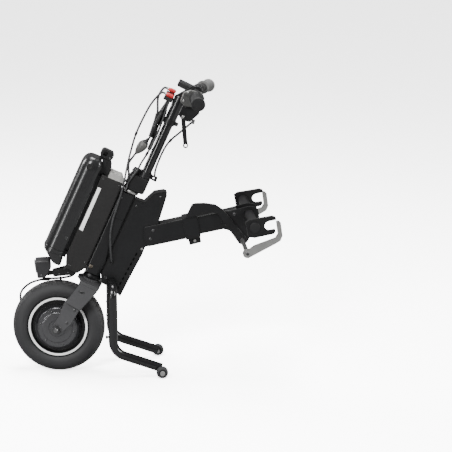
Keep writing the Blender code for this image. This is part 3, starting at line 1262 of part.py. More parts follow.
def make_looks():
    return {
        "frame": finish("satin_black_paint", (0.012, 0.012, 0.014), 0.42, 0.1),
        "fork": finish("dark_grey_paint", (0.045, 0.046, 0.05), 0.45, 0.2),
        "black_part": finish("black_moulding", (0.01, 0.01, 0.011), 0.5),
        "grey_part": finish("grey_moulding", (0.18, 0.18, 0.18), 0.45),
        "battery": finish("gloss_black_shell", (0.008, 0.008, 0.009), 0.18),
        "button": finish("button_rubber", (0.03, 0.03, 0.032), 0.6),
        "tyre": finish("tyre_rubber", (0.03, 0.03, 0.032), 0.75),
        "rim": finish("rim_black", (0.006, 0.006, 0.006), 0.35, 0.3),
        "stripe": finish("white_tape", (0.85, 0.85, 0.84), 0.4),
        "motor": finish("motor_black", (0.02, 0.02, 0.022), 0.35, 0.5),
        "motor_cover": finish("motor_cover_grey", (0.06, 0.06, 0.065), 0.35, 0.5),
        "steel": finish("bare_steel", (0.45, 0.45, 0.46), 0.3, 1.0),
        "alloy": finish("light_alloy", (0.62, 0.62, 0.6), 0.45, 0.6),
        "silver": finish("silver_alloy", (0.38, 0.38, 0.36), 0.3, 0.9),
        "grip": finish("grip_grey", (0.42, 0.42, 0.4), 0.5),
        "lens": finish("lamp_lens", (0.75, 0.76, 0.78), 0.1),
        "red": finish("red_plastic", (0.55, 0.03, 0.05), 0.35),
        "cable": finish("cable_black", (0.012, 0.012, 0.012), 0.5),
        "junction": finish("junction_grey", (0.12, 0.12, 0.11), 0.5),
        "roller": finish("roller_rubber", (0.02, 0.02, 0.02), 0.6),
    }


def build():
    clear_scene()
    looks = make_looks()

    level = axes("level", None, (AXLE_X, AXLE_Y, 0))
    frame = axes("frame", level, (0, 0, AXLE_Z), LEAN)
    steering = axes("steering", frame, (RAKE, 0, 0), 0, REST_STEER)
    wheel = axes("wheel", steering, (-RAKE, 0, 0))

    build_wheel(wheel, looks)
    build_axle(wheel, looks)
    build_fork(steering, looks)
    build_caliper(steering, looks)
    build_head(frame, looks)
    build_gusset(frame, looks)
    build_case(frame, looks)

    pivot_t, pivot_s = battery_pivot()
    build_battery(axes("battery_tilt", frame, (pivot_t, 0, pivot_s)), looks)
    pivot_t, pivot_s = latch_pivot()
    build_latch_handle(axes("latch_pivot", frame, (pivot_t, 0, pivot_s)), looks)

    build_lamp_bracket(level, looks)
    build_lamp(axes("lamp_tilt", level, lamp_pivot()), looks)

    stand = axes("stand_pivot", level, (STAND_X, 0, STAND_Z))
    build_stand(stand, looks)
    for side, label in ((-1, "left"), (1, "right")):
        at = (ROLLER_X - STAND_X, side * roller_middle(), ROLLER_DIAMETER / 2 - STAND_Z)
        build_roller(f"roller_{label}", axes(f"roller_axis_{label}", stand, at), looks)

    beam = axes("beam", level, (BEAM_X, 0, BEAM_Z), -BEAM_RISE)
    build_beam(beam, looks)
    build_dock(axes("dock", beam, (0, 0, 0)), looks)
    shaft_v, shaft_w = latch_shaft_place()
    build_latch(axes("latch", beam, (shaft_v, 0, shaft_w)), looks)

    build_column(steering, looks)
    knob_u, knob_s = knob_place()
    build_knob(axes("knob", steering, (knob_u, 0, knob_s)), looks)
    riser = axes("riser", steering, (COLUMN_OFFSET, 0, 0))
    build_riser(riser, looks)
    build_plugs(riser, looks)
    bar = axes("bar", steering, (BAR_U, 0, BAR_S))
    build_bar(bar, looks)
    lever_x, lever_z = lever_pivot()
    build_lever(axes("lever", bar, (lever_x, -perch_place(), lever_z)), looks)
    build_grip("throttle_grip", swept_axes("throttle_twist", bar, -1), -1, looks)

    build_cables(frame, looks)
    build_junction(frame, looks)
    build_motor_cable(frame, looks)


build()
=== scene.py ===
"""Looks of the clip-on powered front-wheel drive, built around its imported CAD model.

Pieces are modelled in millimetres on the axes of the sub-part they belong to, and are put in place
in metres when they are finished. Materials read Object coordinates, so their grain is in metres.
"""
import math

import bpy
from mathutils import Matrix, Vector


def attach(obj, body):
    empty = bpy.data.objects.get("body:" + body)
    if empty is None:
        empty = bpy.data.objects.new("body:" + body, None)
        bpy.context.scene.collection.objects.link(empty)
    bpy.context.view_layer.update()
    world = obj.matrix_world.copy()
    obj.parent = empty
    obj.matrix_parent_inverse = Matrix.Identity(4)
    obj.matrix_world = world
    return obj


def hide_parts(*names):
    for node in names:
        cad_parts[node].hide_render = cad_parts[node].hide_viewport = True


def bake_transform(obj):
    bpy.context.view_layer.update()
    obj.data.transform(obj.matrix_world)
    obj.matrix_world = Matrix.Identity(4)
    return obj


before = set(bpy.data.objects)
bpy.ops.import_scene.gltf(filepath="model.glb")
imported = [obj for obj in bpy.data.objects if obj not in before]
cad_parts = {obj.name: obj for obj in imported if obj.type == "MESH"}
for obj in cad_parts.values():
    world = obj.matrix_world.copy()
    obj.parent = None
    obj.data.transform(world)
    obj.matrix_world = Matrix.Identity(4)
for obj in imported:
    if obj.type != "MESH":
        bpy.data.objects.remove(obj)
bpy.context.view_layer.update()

MM = 0.001

# Sizes of the solids, in millimetres
AXLE_X, AXLE_Y, AXLE_Z = -233.51, 9.573, 127.0
LEAN = 24.4
REST_STEER = -9.0
BEAM_RISE = 11.0
RAKE = 27.0
COLUMN_OFFSET = 20.5
SLEEVE_RADIUS = 15.2
BAR_U, BAR_S = 54.0, 748.0
BAR_RADIUS = 11.1
BAR_HALF_LENGTH = 222.0
BAR_SWEEP = 7.3
BAR_BEND_AT = 60.0
GRIP_LENGTH = 92.0
GRIP_START = BAR_HALF_LENGTH - GRIP_LENGTH - 2.0
THROTTLE_WIDTH = 15.0
PERCH_MIDDLE = GRIP_START - THROTTLE_WIDTH - 4.5 - 17.0 / 2
HEAD_BOTTOM, HEAD_STEP, HEAD_TOP = 177.0, 346.0, 420.0
BLOCK_BOTTOM, BLOCK_TOP = 431.3, 475.0
STEERER_RADIUS = 14.3
SLEEVE_BOTTOM, SLEEVE_TOP = 635.0, 717.0
COLUMN_TOP = 700.0
BATTERY_FRONT, BATTERY_REAR = -125.5, -72.0
BATTERY_HALF = 45.0
CARRIER_DEEP = 8.0
BATTERY_SEAM, BATTERY_TOP = 206.0, 478.0
CASE_FRONT, CASE_TOP = -64.0, 441.0
CASE_REAR = -2.0
CASE_HALF = 30.0
LATCH_PIVOT = (CASE_FRONT + 4.0, BATTERY_TOP + 10.0)
LAMP_PIVOT = (-44.0, 276.0)
LAMP_HALF = 24.0
STAND_X, STAND_Z = 146.0, 251.0
STAND_HALF = 80.0
STAND_TUBE = 12.5
ROLLER_X, ROLLER_Z = 278.0, 16.0
ROLLER_WIDTH = 18.0
BEAM_X, BEAM_Z = 292.7, 387.0
LATCH_SHAFT = (203.0, -62.0)
DROPOUT_INNER, DROPOUT_OUTER, LEG_OUTER = 52.0, 58.0, 65.5
HUB_BOSS = 44.0
GAP = 0.3
TYRE_RADIUS = AXLE_Z
THIN_CABLE, THICK_CABLE = 2.8, 3.1

# Points nearer than this become one
MERGE = 0.002

SIDES = ((-1, "left"), (1, "right"))
LEFT, RIGHT, UP = (0, -1, 0), (0, 1, 0), (0, 0, 1)


def turn(degrees, axis):
    return Matrix.Rotation(math.radians(degrees), 4, axis)


def move(x, y, z):
    return Matrix.Translation((x, y, z))


def outward(side):
    """Turns a piece's Z away from the middle, to the left or the right."""
    return turn(-90 * side, "X")


def bar_at(y):
    """How far back the bar lies from its middle at a place along it."""
    return max(0.0, abs(y) - BAR_BEND_AT) * math.tan(math.radians(BAR_SWEEP))


LEVEL = Matrix.Scale(MM, 4) @ move(AXLE_X, AXLE_Y, 0)
LEANED = LEVEL @ move(0, 0, AXLE_Z) @ turn(LEAN, "Y")
STEERED = LEANED @ move(RAKE, 0, 0) @ turn(REST_STEER, "Z")
WHEEL = STEERED @ move(-RAKE, 0, 0)
RISER = STEERED @ move(COLUMN_OFFSET, 0, 0)
KNOB = STEERED @ move(-9.5, 0, BLOCK_TOP + 9.5)
BAR = STEERED @ move(BAR_U, 0, BAR_S)
LEFT_SEAT = BAR @ move(bar_at(GRIP_START), -GRIP_START, 0) @ turn(BAR_SWEEP, "Z")
RIGHT_SEAT = BAR @ move(bar_at(GRIP_START), GRIP_START, 0) @ turn(-BAR_SWEEP, "Z")
LEVER_PIVOT = (bar_at(PERCH_MIDDLE) - 10.0, -62.0)
LEVER = BAR @ move(LEVER_PIVOT[0], -PERCH_MIDDLE, LEVER_PIVOT[1])
LATCH_HANDLE = LEANED @ move(LATCH_PIVOT[0], 0, LATCH_PIVOT[1])
LAMP = LEVEL @ move(LAMP_PIVOT[0], 0, LAMP_PIVOT[1])
STAND = LEVEL @ move(STAND_X, 0, STAND_Z)
BEAM = LEVEL @ move(BEAM_X, 0, BEAM_Z) @ turn(-BEAM_RISE, "Y")
LATCH = BEAM @ move(LATCH_SHAFT[0], 0, LATCH_SHAFT[1])


def between(first, last):
    """Axes that stand on one place and point their Z at another."""
    first, last = Vector(first), Vector(last)
    aim = Vector((0, 0, 1)).rotation_difference(last - first).to_matrix().to_4x4()
    return Matrix.Translation(first) @ aim


def to_leaned(x, z):
    """Frame place (t, s) of a side-view point."""
    lean = math.radians(LEAN)
    rise = z - AXLE_Z
    return x * math.cos(lean) - rise * math.sin(lean), x * math.sin(lean) + rise * math.cos(lean)


def steered(u, y, s):
    """Frame place (t, y, s) of a point that turns with the fork."""
    angle = math.radians(REST_STEER)
    return (RAKE + u * math.cos(angle) - y * math.sin(angle),
            u * math.sin(angle) + y * math.cos(angle), s)


# Modelling tools

def unselect():
    """Leaves edit mode with nothing selected."""
    if bpy.context.mode != "OBJECT":
        bpy.ops.object.mode_set(mode="OBJECT")
    bpy.ops.object.select_all(action="DESELECT")


def pick(piece):
    """Makes one piece the only selected and the active one."""
    unselect()
    piece.select_set(True)
    bpy.context.view_layer.objects.active = piece


def edit(piece):
    """Opens a piece in edit mode with nothing selected."""
    pick(piece)
    bpy.ops.object.mode_set(mode="EDIT")
    bpy.ops.mesh.select_all(action="DESELECT")


def sealed():
    """Merges doubles, turns the faces outwards and leaves edit mode."""
    bpy.ops.mesh.select_all(action="SELECT")
    bpy.ops.mesh.remove_doubles(threshold=MERGE)
    bpy.ops.mesh.normals_make_consistent(inside=False)
    bpy.ops.object.mode_set(mode="OBJECT")


def traced(name, points):
    """Starts a piece as a line of points, left in edit mode."""
    unselect()
    bpy.ops.mesh.primitive_plane_add(size=1.0, location=(0, 0, 0))
    piece = bpy.context.object
    piece.name = name
    bpy.ops.object.mode_set(mode="EDIT")
    bpy.ops.mesh.select_all(action="SELECT")
    bpy.ops.mesh.merge(type="CENTER")
    bpy.ops.transform.translate(value=points[0])
    for here, there in zip(points, points[1:]):
        extrude(Vector(there) - Vector(here))
    return piece


def filled():
    """Closes a traced outline and gives it a face."""
    bpy.ops.mesh.select_all(action="SELECT")
    bpy.ops.mesh.remove_doubles(threshold=MERGE)
    bpy.ops.mesh.select_all(action="SELECT")
    bpy.ops.mesh.edge_face_add()


def extrude(step):
    """Draws what is selected out by a step."""
    bpy.ops.mesh.extrude_region_move(TRANSFORM_OT_translate={"value": step})


def turned(name, profile, sides=64, along="Y"):
    """A piece spun from a (radius, place) profile. A profile off the axis is closed into a ring."""
    spots = [(r, p, 0) if along == "Y" else (r, 0, p) for r, p in profile]
    if profile[0][0] > 0:
        spots.append(spots[0])
    piece = traced(name, spots)
    axis = RIGHT if along == "Y" else UP
    bpy.ops.mesh.select_all(action="SELECT")
    bpy.ops.mesh.spin(steps=sides, angle=math.tau, center=(0, 0, 0), axis=axis)
    sealed()
    return piece


def plate(name, outline, low, high, along="Y"):
    """A flat piece extruded from an outline, between two places on an axis."""
    def spot(a, b, c):
        return {"X": (c, a, b), "Y": (a, c, b), "Z": (a, b, c)}[along]

    piece = traced(name, [spot(a, b, low) for a, b in [*outline, outline[0]]])
    filled()
    extrude(Vector(spot(0, 0, high)) - Vector(spot(0, 0, low)))
    sealed()
    return piece


def stacked(name, rings):
    """A moulding raised in steps. Each ring is (front, rear, half width, height, corner radii)."""
    front, rear, half, height, radii = rings[0]
    outline = rounded([(front, -half), (rear, -half), (rear, half), (front, half)], radii, 8)
    piece = traced(name, [(x, y, height) for x, y in [*outline, outline[0]]])
    filled()
    for before, after in zip(rings, rings[1:]):
        extrude(((after[0] + after[1] - before[0] - before[1]) / 2, 0, after[3] - before[3]))
        middle = ((after[0] + after[1]) / 2, 0, after[3])
        spread = ((after[1] - after[0]) / (before[1] - before[0]), after[2] / before[2], 1)
        bpy.ops.transform.resize(value=spread, center_override=middle)
    sealed()
    return piece


def bevel(piece, width, segments=3, angle=35.0):
    """Rounds the edges that turn by more than an angle."""
    pick(piece)
    made = piece.modifiers.new("edge", "BEVEL")
    made.width = width
    made.segments = segments
    made.limit_method = "ANGLE"
    made.angle_limit = math.radians(angle)
    bpy.ops.object.modifier_apply(modifier=made.name)
    return piece


def cut(piece, cutter):
    """Cuts another mesh out of a piece and removes that mesh."""
    pick(piece)
    made = piece.modifiers.new("shape", "BOOLEAN")
    made.operation = "DIFFERENCE"
    made.solver = "EXACT"
    made.object = cutter
    bpy.ops.object.modifier_apply(modifier=made.name)
    bpy.data.objects.remove(cutter)
    return piece


def rod(name, radius, low, high, centre=(0, 0), along="Y", sides=32):
    """A chamfered pin or a cutter along an axis."""
    chamfer = min(0.4, radius * 0.2)
    piece = turned(name, [(0, low), (radius - chamfer, low), (radius, low + chamfer),
                          (radius, high - chamfer), (radius - chamfer, high), (0, high)], sides, along)
    edit(piece)
    bpy.ops.mesh.select_all(action="SELECT")
    shift = (centre[0], 0, centre[1]) if along == "Y" else (centre[0], centre[1], 0)
    bpy.ops.transform.translate(value=shift)
    bpy.ops.object.mode_set(mode="OBJECT")
    return piece


def copied(source, name):
    """A copy of a piece, with a mesh of its own."""
    pick(source)
    bpy.ops.object.duplicate(linked=False)
    copy = bpy.context.object
    copy.name = name
    return copy


def discard(*pieces):
    for piece in pieces:
        bpy.data.objects.remove(piece)


def arc(cx, cz, radius, start, end, steps):
    """Points along an arc, its angles in degrees."""
    angles = [math.radians(start + (end - start) * i / steps) for i in range(steps + 1)]
    return [(cx + radius * math.cos(a), cz + radius * math.sin(a)) for a in angles]


def rounded(outline, radius, steps=5):
    """Rounds the corners of an outline. radius is one value, or one for each corner."""
    radii = radius if isinstance(radius, (list, tuple)) else [radius] * len(outline)
    result = []
    for i, here in enumerate(outline):
        if radii[i] <= 0:
            result.append(tuple(here))
            continue
        p = Vector(here)
        back = (Vector(outline[i - 1]) - p).normalized()
        ahead = (Vector(outline[(i + 1) % len(outline)]) - p).normalized()
        half = back.angle(ahead) / 2
        centre = p + (back + ahead).normalized() * (radii[i] / math.sin(half))
        reach = radii[i] / math.tan(half)
        first, last = p + back * reach - centre, p + ahead * reach - centre
        for k in range(steps + 1):
            spoke = first.lerp(last, k / steps).normalized() * radii[i]
            result.append(tuple(centre + spoke))
    return result


def fine_route(points, spacing=2.5):
    """Even points on a smooth curve through the points of a cable's route."""
    knots = [Vector(p) for p in points]
    knots = [2 * knots[0] - knots[1], *knots, 2 * knots[-1] - knots[-2]]
    fine = []
    for a, b, c, d in zip(knots, knots[1:], knots[2:], knots[3:]):
        count = max(2, round((c - b).length / spacing))
        for k in range(count):
            x = k / count
            fine.append(0.5 * (2 * b + (c - a) * x + (2 * a - 5 * b + 4 * c - d) * x * x
                               + (3 * b - a - 3 * c + d) * x ** 3))
    return [*fine, knots[-2]]


def bent_route(corners, radii, steps=10):
    """A route of straight runs whose corners are rounded like a bent tube."""
    result = [Vector(corners[0])]
    for before, here, after, radius in zip(corners, corners[1:], corners[2:], radii):
        p = Vector(here)
        back = (Vector(before) - p).normalized()
        ahead = (Vector(after) - p).normalized()
        half = back.angle(ahead) / 2
        centre = p + (back + ahead).normalized() * (radius / math.sin(half))
        first = p + back * (radius / math.tan(half)) - centre
        last = p + ahead * (radius / math.tan(half)) - centre
        sweep = math.pi - 2 * half
        for k in range(steps + 1):
            x = k / steps
            spoke = (first * math.sin((1 - x) * sweep) + last * math.sin(x * sweep)) / math.sin(sweep)
            result.append(centre + spoke)
    return [*result, Vector(corners[-1])]


def tube(name, points, radius, roundness=4):
    """A round tube along a route, made a mesh with closed ends."""
    unselect()
    curve = bpy.data.curves.new(name, "CURVE")
    curve.dimensions = "3D"
    curve.bevel_depth = radius
    curve.bevel_resolution = roundness
    curve.use_fill_caps = True
    spline = curve.splines.new("POLY")
    spline.points.add(len(points) - 1)
    for slot, point in zip(spline.points, points):
        slot.co = (*point, 1.0)
    piece = bpy.data.objects.new(name, curve)
    bpy.context.collection.objects.link(piece)
    pick(piece)
    bpy.ops.object.convert(target="MESH")
    piece = bpy.context.object
    edit(piece)
    sealed()
    return piece


def fit(piece, axes, look, body=None, instead=(), smooth=35.0):
    """Puts a finished piece in place, dresses it and lets it ride on a body.

    A look is a material and the name of a slot; the slot's name is not used.
    """
    material, usual_slot = look
    pick(piece)
    piece.matrix_world = axes @ piece.matrix_world
    bpy.ops.object.transform_apply(location=True, rotation=True, scale=True)
    bpy.ops.object.shade_smooth_by_angle(angle=math.radians(smooth))
    made = piece.modifiers.new("flats", "WEIGHTED_NORMAL")
    made.keep_sharp = True
    bpy.ops.object.modifier_apply(modifier=made.name)
    piece.data.materials.clear()
    piece.data.materials.append(material)
    if body:
        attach(piece, body)
    if instead:
        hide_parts(*instead)
    return piece


def eased(node, body, look, width=0.8, segments=2):
    """A copy of a solid with its edges broken, as the real part's are, which stands for that solid."""
    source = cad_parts[node]
    piece = bpy.data.objects.new(f"{node}_eased", source.data.copy())
    bpy.context.collection.objects.link(piece)
    edit(piece)
    bpy.ops.mesh.customdata_custom_splitnormals_clear()
    bpy.ops.mesh.select_all(action="SELECT")
    bpy.ops.mesh.remove_doubles(threshold=MERGE * MM)
    bpy.ops.mesh.dissolve_limited(angle_limit=math.radians(0.8))
    bpy.ops.mesh.select_all(action="SELECT")
    bpy.ops.mesh.normals_make_consistent(inside=False)
    bpy.ops.object.mode_set(mode="OBJECT")
    bevel(piece, width * MM, segments, 30.0)
    return fit(piece, Matrix.Identity(4), look, body, (node,))


# Materials

class Value:
    """A socket of a material, so that sums on it are written as Python."""

    def __init__(self, finish, socket):
        self.finish = finish
        self.socket = socket

    def __add__(self, other):
        return self.finish.maths("ADD", self, other)

    def __radd__(self, other):
        return self.finish.maths("ADD", other, self)

    def __sub__(self, other):
        return self.finish.maths("SUBTRACT", self, other)

    def __rsub__(self, other):
        return self.finish.maths("SUBTRACT", other, self)

    def __mul__(self, other):
        return self.finish.maths("MULTIPLY", self, other)

    def __rmul__(self, other):
        return self.finish.maths("MULTIPLY", other, self)

    def __truediv__(self, other):
        return self.finish.maths("DIVIDE", self, other)

    def __pow__(self, other):
        return self.finish.maths("POWER", self, other)


class Finish:
    """A material under construction."""

    def __init__(self, name, metallic=0.0, coat=0.0, specular=0.5):
        self.material = bpy.data.materials.new(name)
        self.material.use_nodes = True
        self.tree = self.material.node_tree
        self.shader = self.tree.nodes["Principled BSDF"]
        self.shader.inputs["Metallic"].default_value = metallic
        self.shader.inputs["Coat Weight"].default_value = coat
        self.shader.inputs["Specular IOR Level"].default_value = specular

    def put(self, socket, value):
        if isinstance(value, Value):
            self.tree.links.new(value.socket, socket)
        elif isinstance(value, (tuple, list)) and socket.type == "RGBA":
            socket.default_value = (*value[:3], 1.0)
        else:
            socket.default_value = value

    def node(self, kind, settings=None, inputs=None, output=0):
        made = self.tree.nodes.new(kind)
        for key, value in (settings or {}).items():
            if key == "stops":
                ramp = made.color_ramp
                ramp.elements[0].position, ramp.elements[1].position = value[0][0], value[-1][0]
                for place, _ in value[1:-1]:
                    ramp.elements.new(place)
                for element, (_, shade) in zip(ramp.elements, value):
                    element.color = (shade, shade, shade, 1.0)
            else:
                setattr(made, key, value)
        for key, value in (inputs or {}).items():
            self.put(made.inputs[key], value)
        return Value(self, made.outputs[output])

    def maths(self, operation, *values):
        return self.node("ShaderNodeMath", {"operation": operation}, dict(enumerate(values)))

    def coordinates(self, axes=None, scale=(1, 1, 1)):
        """Object coordinates, centred on a piece and turned with it where axes are given."""
        here = self.node("ShaderNodeTexCoord", output="Object")
        place, spin = Vector(), (0, 0, 0)
        if axes is not None:
            inverse = (axes @ Matrix.Scale(1 / MM, 4)).inverted()
            place, spin = inverse.to_translation(), inverse.to_euler()
        turned_here = self.node("ShaderNodeMapping", None, {"Vector": here, "Location": place,
                                                            "Rotation": spin})
        return self.node("ShaderNodeMapping", None, {"Vector": turned_here, "Scale": scale})

    def noise(self, where, scale, detail=2.0, roughness=0.5):
        return self.node("ShaderNodeTexNoise", None, {"Vector": where, "Scale": scale,
                                                      "Detail": detail, "Roughness": roughness})

    def pits(self, where, scale):
        return self.node("ShaderNodeTexVoronoi", None, {"Vector": where, "Scale": scale})

    def ramp(self, value, *stops):
        return self.node("ShaderNodeValToRGB", {"stops": stops}, {"Fac": value})

    def mix(self, mask, low, high):
        return self.node("ShaderNodeMix", {"data_type": "RGBA"}, {0: mask, 6: low, 7: high}, 2)

    def from_axle(self, here):
        """Distance from an axle along Y."""
        ahead = self.node("ShaderNodeSeparateXYZ", None, {0: here}, "X")
        above = Value(self, ahead.socket.node.outputs["Z"])
        return (ahead * ahead + above * above) ** 0.5

    def bump(self, height, distance, strength):
        return self.node("ShaderNodeBump", None, {"Height": height, "Distance": distance,
                                                  "Strength": strength})

    def done(self, colour, roughness, normal=None):
        self.put(self.shader.inputs["Base Color"], colour)
        self.put(self.shader.inputs["Roughness"], roughness)
        if normal is not None:
            self.put(self.shader.inputs["Normal"], normal)
        return self.material


def shade(colour, factor):
    """A colour made darker or lighter."""
    return tuple(c * factor for c in colour)


def powder_coat(name, colour, roughness, peel=0.5, specular=0.5):
    """Baked paint with a fine orange peel and a little dust."""
    finish = Finish(name, specular=specular)
    here = finish.coordinates()
    broad = finish.noise(here, 22.0, 3.0)
    peel_height = finish.noise(here, 900.0, 2.0)
    specks = finish.ramp(finish.noise(here, 2600.0, 1.0), (0.62, 0.0), (0.74, 1.0))
    tone = finish.mix(broad, shade(colour, 0.82), shade(colour, 1.2))
    tone = finish.mix(specks * 0.25, tone, shade(colour, 2.2))
    gloss = roughness + (broad - 0.5) * 0.14 + (peel_height - 0.5) * 0.08
    return finish.done(tone, gloss, finish.bump(peel_height, 0.00006, peel))


def moulded(name, colour, roughness, grain=1.0, specular=0.5):
    """Moulded plastic with a spark-eroded grain."""
    finish = Finish(name, specular=specular)
    here = finish.coordinates()
    broad = finish.noise(here, 30.0, 2.0)
    grain_height = finish.pits(here, 1400.0) + finish.noise(here, 2200.0, 2.0) * 0.6
    tone = finish.mix(broad, shade(colour, 0.85), shade(colour, 1.15))
    gloss = roughness + (broad - 0.5) * 0.1
    return finish.done(tone, gloss, finish.bump(grain_height, 0.00005, 0.5 * grain))


def gloss_shell(name, colour, roughness):
    """Polished dark plastic with hairline scratches and a little dust."""
    finish = Finish(name, coat=0.12, specular=0.5)
    finish.shader.inputs["Coat Roughness"].default_value = 0.12
    here = finish.coordinates()
    broad = finish.noise(here, 18.0, 3.0)
    hairs = finish.noise(finish.coordinates(scale=(1.0, 1.0, 0.06)), 1500.0, 2.0)
    dust = finish.ramp(finish.noise(here, 1900.0, 1.0), (0.66, 0.0), (0.76, 1.0))
    tone = finish.mix(dust * 0.3, finish.mix(broad, shade(colour, 0.9), shade(colour, 1.1)),
                      shade(colour, 2.5))
    gloss = roughness + (broad - 0.5) * 0.08 + (hairs - 0.5) * 0.1
    return finish.done(tone, gloss, finish.bump(finish.noise(here, 60.0, 1.0), 0.0002, 0.12))


def tyre_rubber(name, colour, axes):
    """Rubber with a scuffed tread and fine moulding rings on its walls."""
    finish = Finish(name, specular=0.35)
    here = finish.coordinates(axes)
    out = finish.from_axle(here)
    tread = finish.ramp(out * 1000.0 / TYRE_RADIUS, (0.93, 0.0), (0.985, 1.0))
    broad = finish.noise(here, 26.0, 4.0, 0.6)
    grain = finish.noise(here, 1300.0, 3.0)
    scuff = tread * finish.ramp(finish.noise(here, 140.0, 4.0), (0.42, 0.0), (0.62, 1.0))
    tone = finish.mix(broad, shade(colour, 0.82), shade(colour, 1.18))
    tone = finish.mix(scuff * 0.5, tone, (0.115, 0.112, 0.11))
    rings = finish.maths("SINE", out * 4200.0)
    gloss = 0.62 + (broad - 0.5) * 0.16 + scuff * 0.12
    height = grain + rings * 0.25 * (1.0 - tread)
    return finish.done(tone, gloss, finish.bump(height, 0.00009, 0.6))


def spun_metal(name, colour, roughness, axes, metallic=0.85, pitch=5200.0, depth=0.5):
    """Lathe-turned metal, with fine rings round an axle along Y."""
    finish = Finish(name, metallic=metallic)
    here = finish.coordinates(axes)
    out = finish.from_axle(here)
    rings = finish.noise(finish.node("ShaderNodeCombineXYZ", None, {0: out * pitch}), 1.0, 3.0)
    broad = finish.noise(here, 35.0, 3.0)
    tone = finish.mix(rings, shade(colour, 0.8), shade(colour, 1.2))
    gloss = roughness + (rings - 0.5) * 0.14 + (broad - 0.5) * 0.06
    return finish.done(tone, gloss, finish.bump(rings, 0.00004, depth))


def bright_metal(name, colour, roughness, brushed=(1.0, 1.0, 0.03)):
    """Plated or brushed metal with faint lines and tarnish."""
    finish = Finish(name, metallic=1.0)
    lines = finish.noise(finish.coordinates(scale=brushed), 2600.0, 3.0)
    broad = finish.noise(finish.coordinates(), 60.0, 3.0)
    tone = finish.mix(broad, shade(colour, 0.78), shade(colour, 1.1))
    gloss = roughness + (lines - 0.5) * 0.18 + (broad - 0.5) * 0.1
    return finish.done(tone, gloss, finish.bump(lines, 0.00002, 0.4))


def blasted(name, colour, roughness):
    """Bead-blasted aluminium."""
    finish = Finish(name, metallic=0.8)
    here = finish.coordinates()
    beads = finish.pits(here, 1900.0)
    broad = finish.noise(here, 40.0, 3.0)
    tone = finish.mix(beads, shade(colour, 0.8), shade(colour, 1.12))
    return finish.done(tone, roughness + (broad - 0.5) * 0.1, finish.bump(beads, 0.00008, 0.5))


def soft_grip(name, colour, roughness):
    """Matt grip rubber, a little soiled."""
    finish = Finish(name, specular=0.3)
    here = finish.coordinates()
    broad = finish.noise(here, 90.0, 4.0, 0.6)
    grain = finish.noise(here, 1800.0, 2.0)
    tone = finish.mix(broad, shade(colour, 0.78), shade(colour, 1.12))
    return finish.done(tone, roughness + (broad - 0.5) * 0.15, finish.bump(grain, 0.00008, 0.6))


def printed_tape(name, colour):
    """Reflective tape, with a fine honeycomb and a few specks of dirt."""
    finish = Finish(name, coat=0.2)
    here = finish.coordinates()
    comb = finish.pits(here, 700.0)
    soil = finish.ramp(finish.noise(here, 420.0, 3.0), (0.6, 0.0), (0.8, 1.0))
    tone = finish.mix(soil * 0.3, finish.mix(comb, colour, shade(colour, 0.92)), shade(colour, 0.55))
    return finish.done(tone, 0.42 + soil * 0.2, finish.bump(comb, 0.00003, 0.3))


def cable_jacket(name, colour, roughness):
    """Soft cable jacket, faintly streaked along its drawing marks."""
    finish = Finish(name, specular=0.45)
    here = finish.coordinates()
    broad = finish.noise(here, 70.0, 3.0)
    grain = finish.noise(here, 1700.0, 2.0)
    tone = finish.mix(broad, shade(colour, 0.8), shade(colour, 1.25))
    return finish.done(tone, roughness + (broad - 0.5) * 0.15, finish.bump(grain, 0.00005, 0.4))


def clear_glass(name, colour, roughness):
    """Clear polycarbonate."""
    finish = Finish(name, coat=0.3)
    finish.shader.inputs["Transmission Weight"].default_value = 0.85
    finish.shader.inputs["IOR"].default_value = 1.49
    here = finish.coordinates()
    haze = finish.noise(here, 120.0, 3.0)
    flutes = finish.maths("SINE", finish.node(
        "ShaderNodeSeparateXYZ", None, {0: here}, "Y") * 2600.0)
    return finish.done(finish.mix(haze, shade(colour, 0.9), colour), roughness + haze * 0.05,
                       finish.bump(flutes, 0.0001, 0.35))


# Looks: each is a material and the name of a slot

FRAME_BLACK = (powder_coat("satin_black_paint", (0.006, 0.006, 0.0065), 0.36, 0.5, 0.3), "frame_paint")
TUBE_BLACK = (powder_coat("gloss_black_paint", (0.006, 0.006, 0.0065), 0.2, 0.25, 0.5), "frame_paint")
CASE_BLACK = (powder_coat("case_black_paint", (0.011, 0.0105, 0.0105), 0.45, 0.5, 0.3), "frame_paint")
FORK_GREY = (powder_coat("fork_dark_grey_paint", (0.042, 0.042, 0.044), 0.5, 0.5, 0.3), "fork_grey")
PART_BLACK = (powder_coat("anodised_black", (0.005, 0.005, 0.0055), 0.32, 0.3, 0.35), "black_aluminium")
MOULD_BLACK = (moulded("moulded_black_plastic", (0.008, 0.008, 0.0085), 0.5, 1.0, 0.3), "black_moulding")
LAMP_BLACK = (moulded("lamp_black_plastic", (0.018, 0.0175, 0.019), 0.46, 0.7, 0.35), "frame_paint")
SHELL_BLACK = (gloss_shell("battery_gloss_shell", (0.006, 0.006, 0.0065), 0.3), "battery_gloss")
BUTTON_BLACK = (moulded("button_black_rubber", (0.008, 0.008, 0.008), 0.6, 1.0, 0.3), "button_rubber")
TYRE_BLACK = (tyre_rubber("tyre_black_rubber", (0.02, 0.02, 0.0212), WHEEL), "tyre_rubber")
RIM_BLACK = (spun_metal("rim_black_paint", (0.004, 0.004, 0.0045), 0.4, WHEEL, 0.2, 2600.0, 0.3),
             "rim_black")
RIM_TAPE = (printed_tape("rim_white_tape", (0.93, 0.93, 0.92)), "rim_black")
MOTOR_BLACK = (spun_metal("motor_black_enamel", (0.02, 0.02, 0.021), 0.32, WHEEL, 0.4), "motor_black")
COVER_GREY = (spun_metal("motor_cover_grey", (0.1, 0.1, 0.104), 0.24, WHEEL, 0.92), "cover_grey")
COVER_DARK = (spun_metal("motor_cover_gloss", (0.02, 0.02, 0.022), 0.16, WHEEL, 0.6, 5200.0, 0.15),
              "cover_grey")
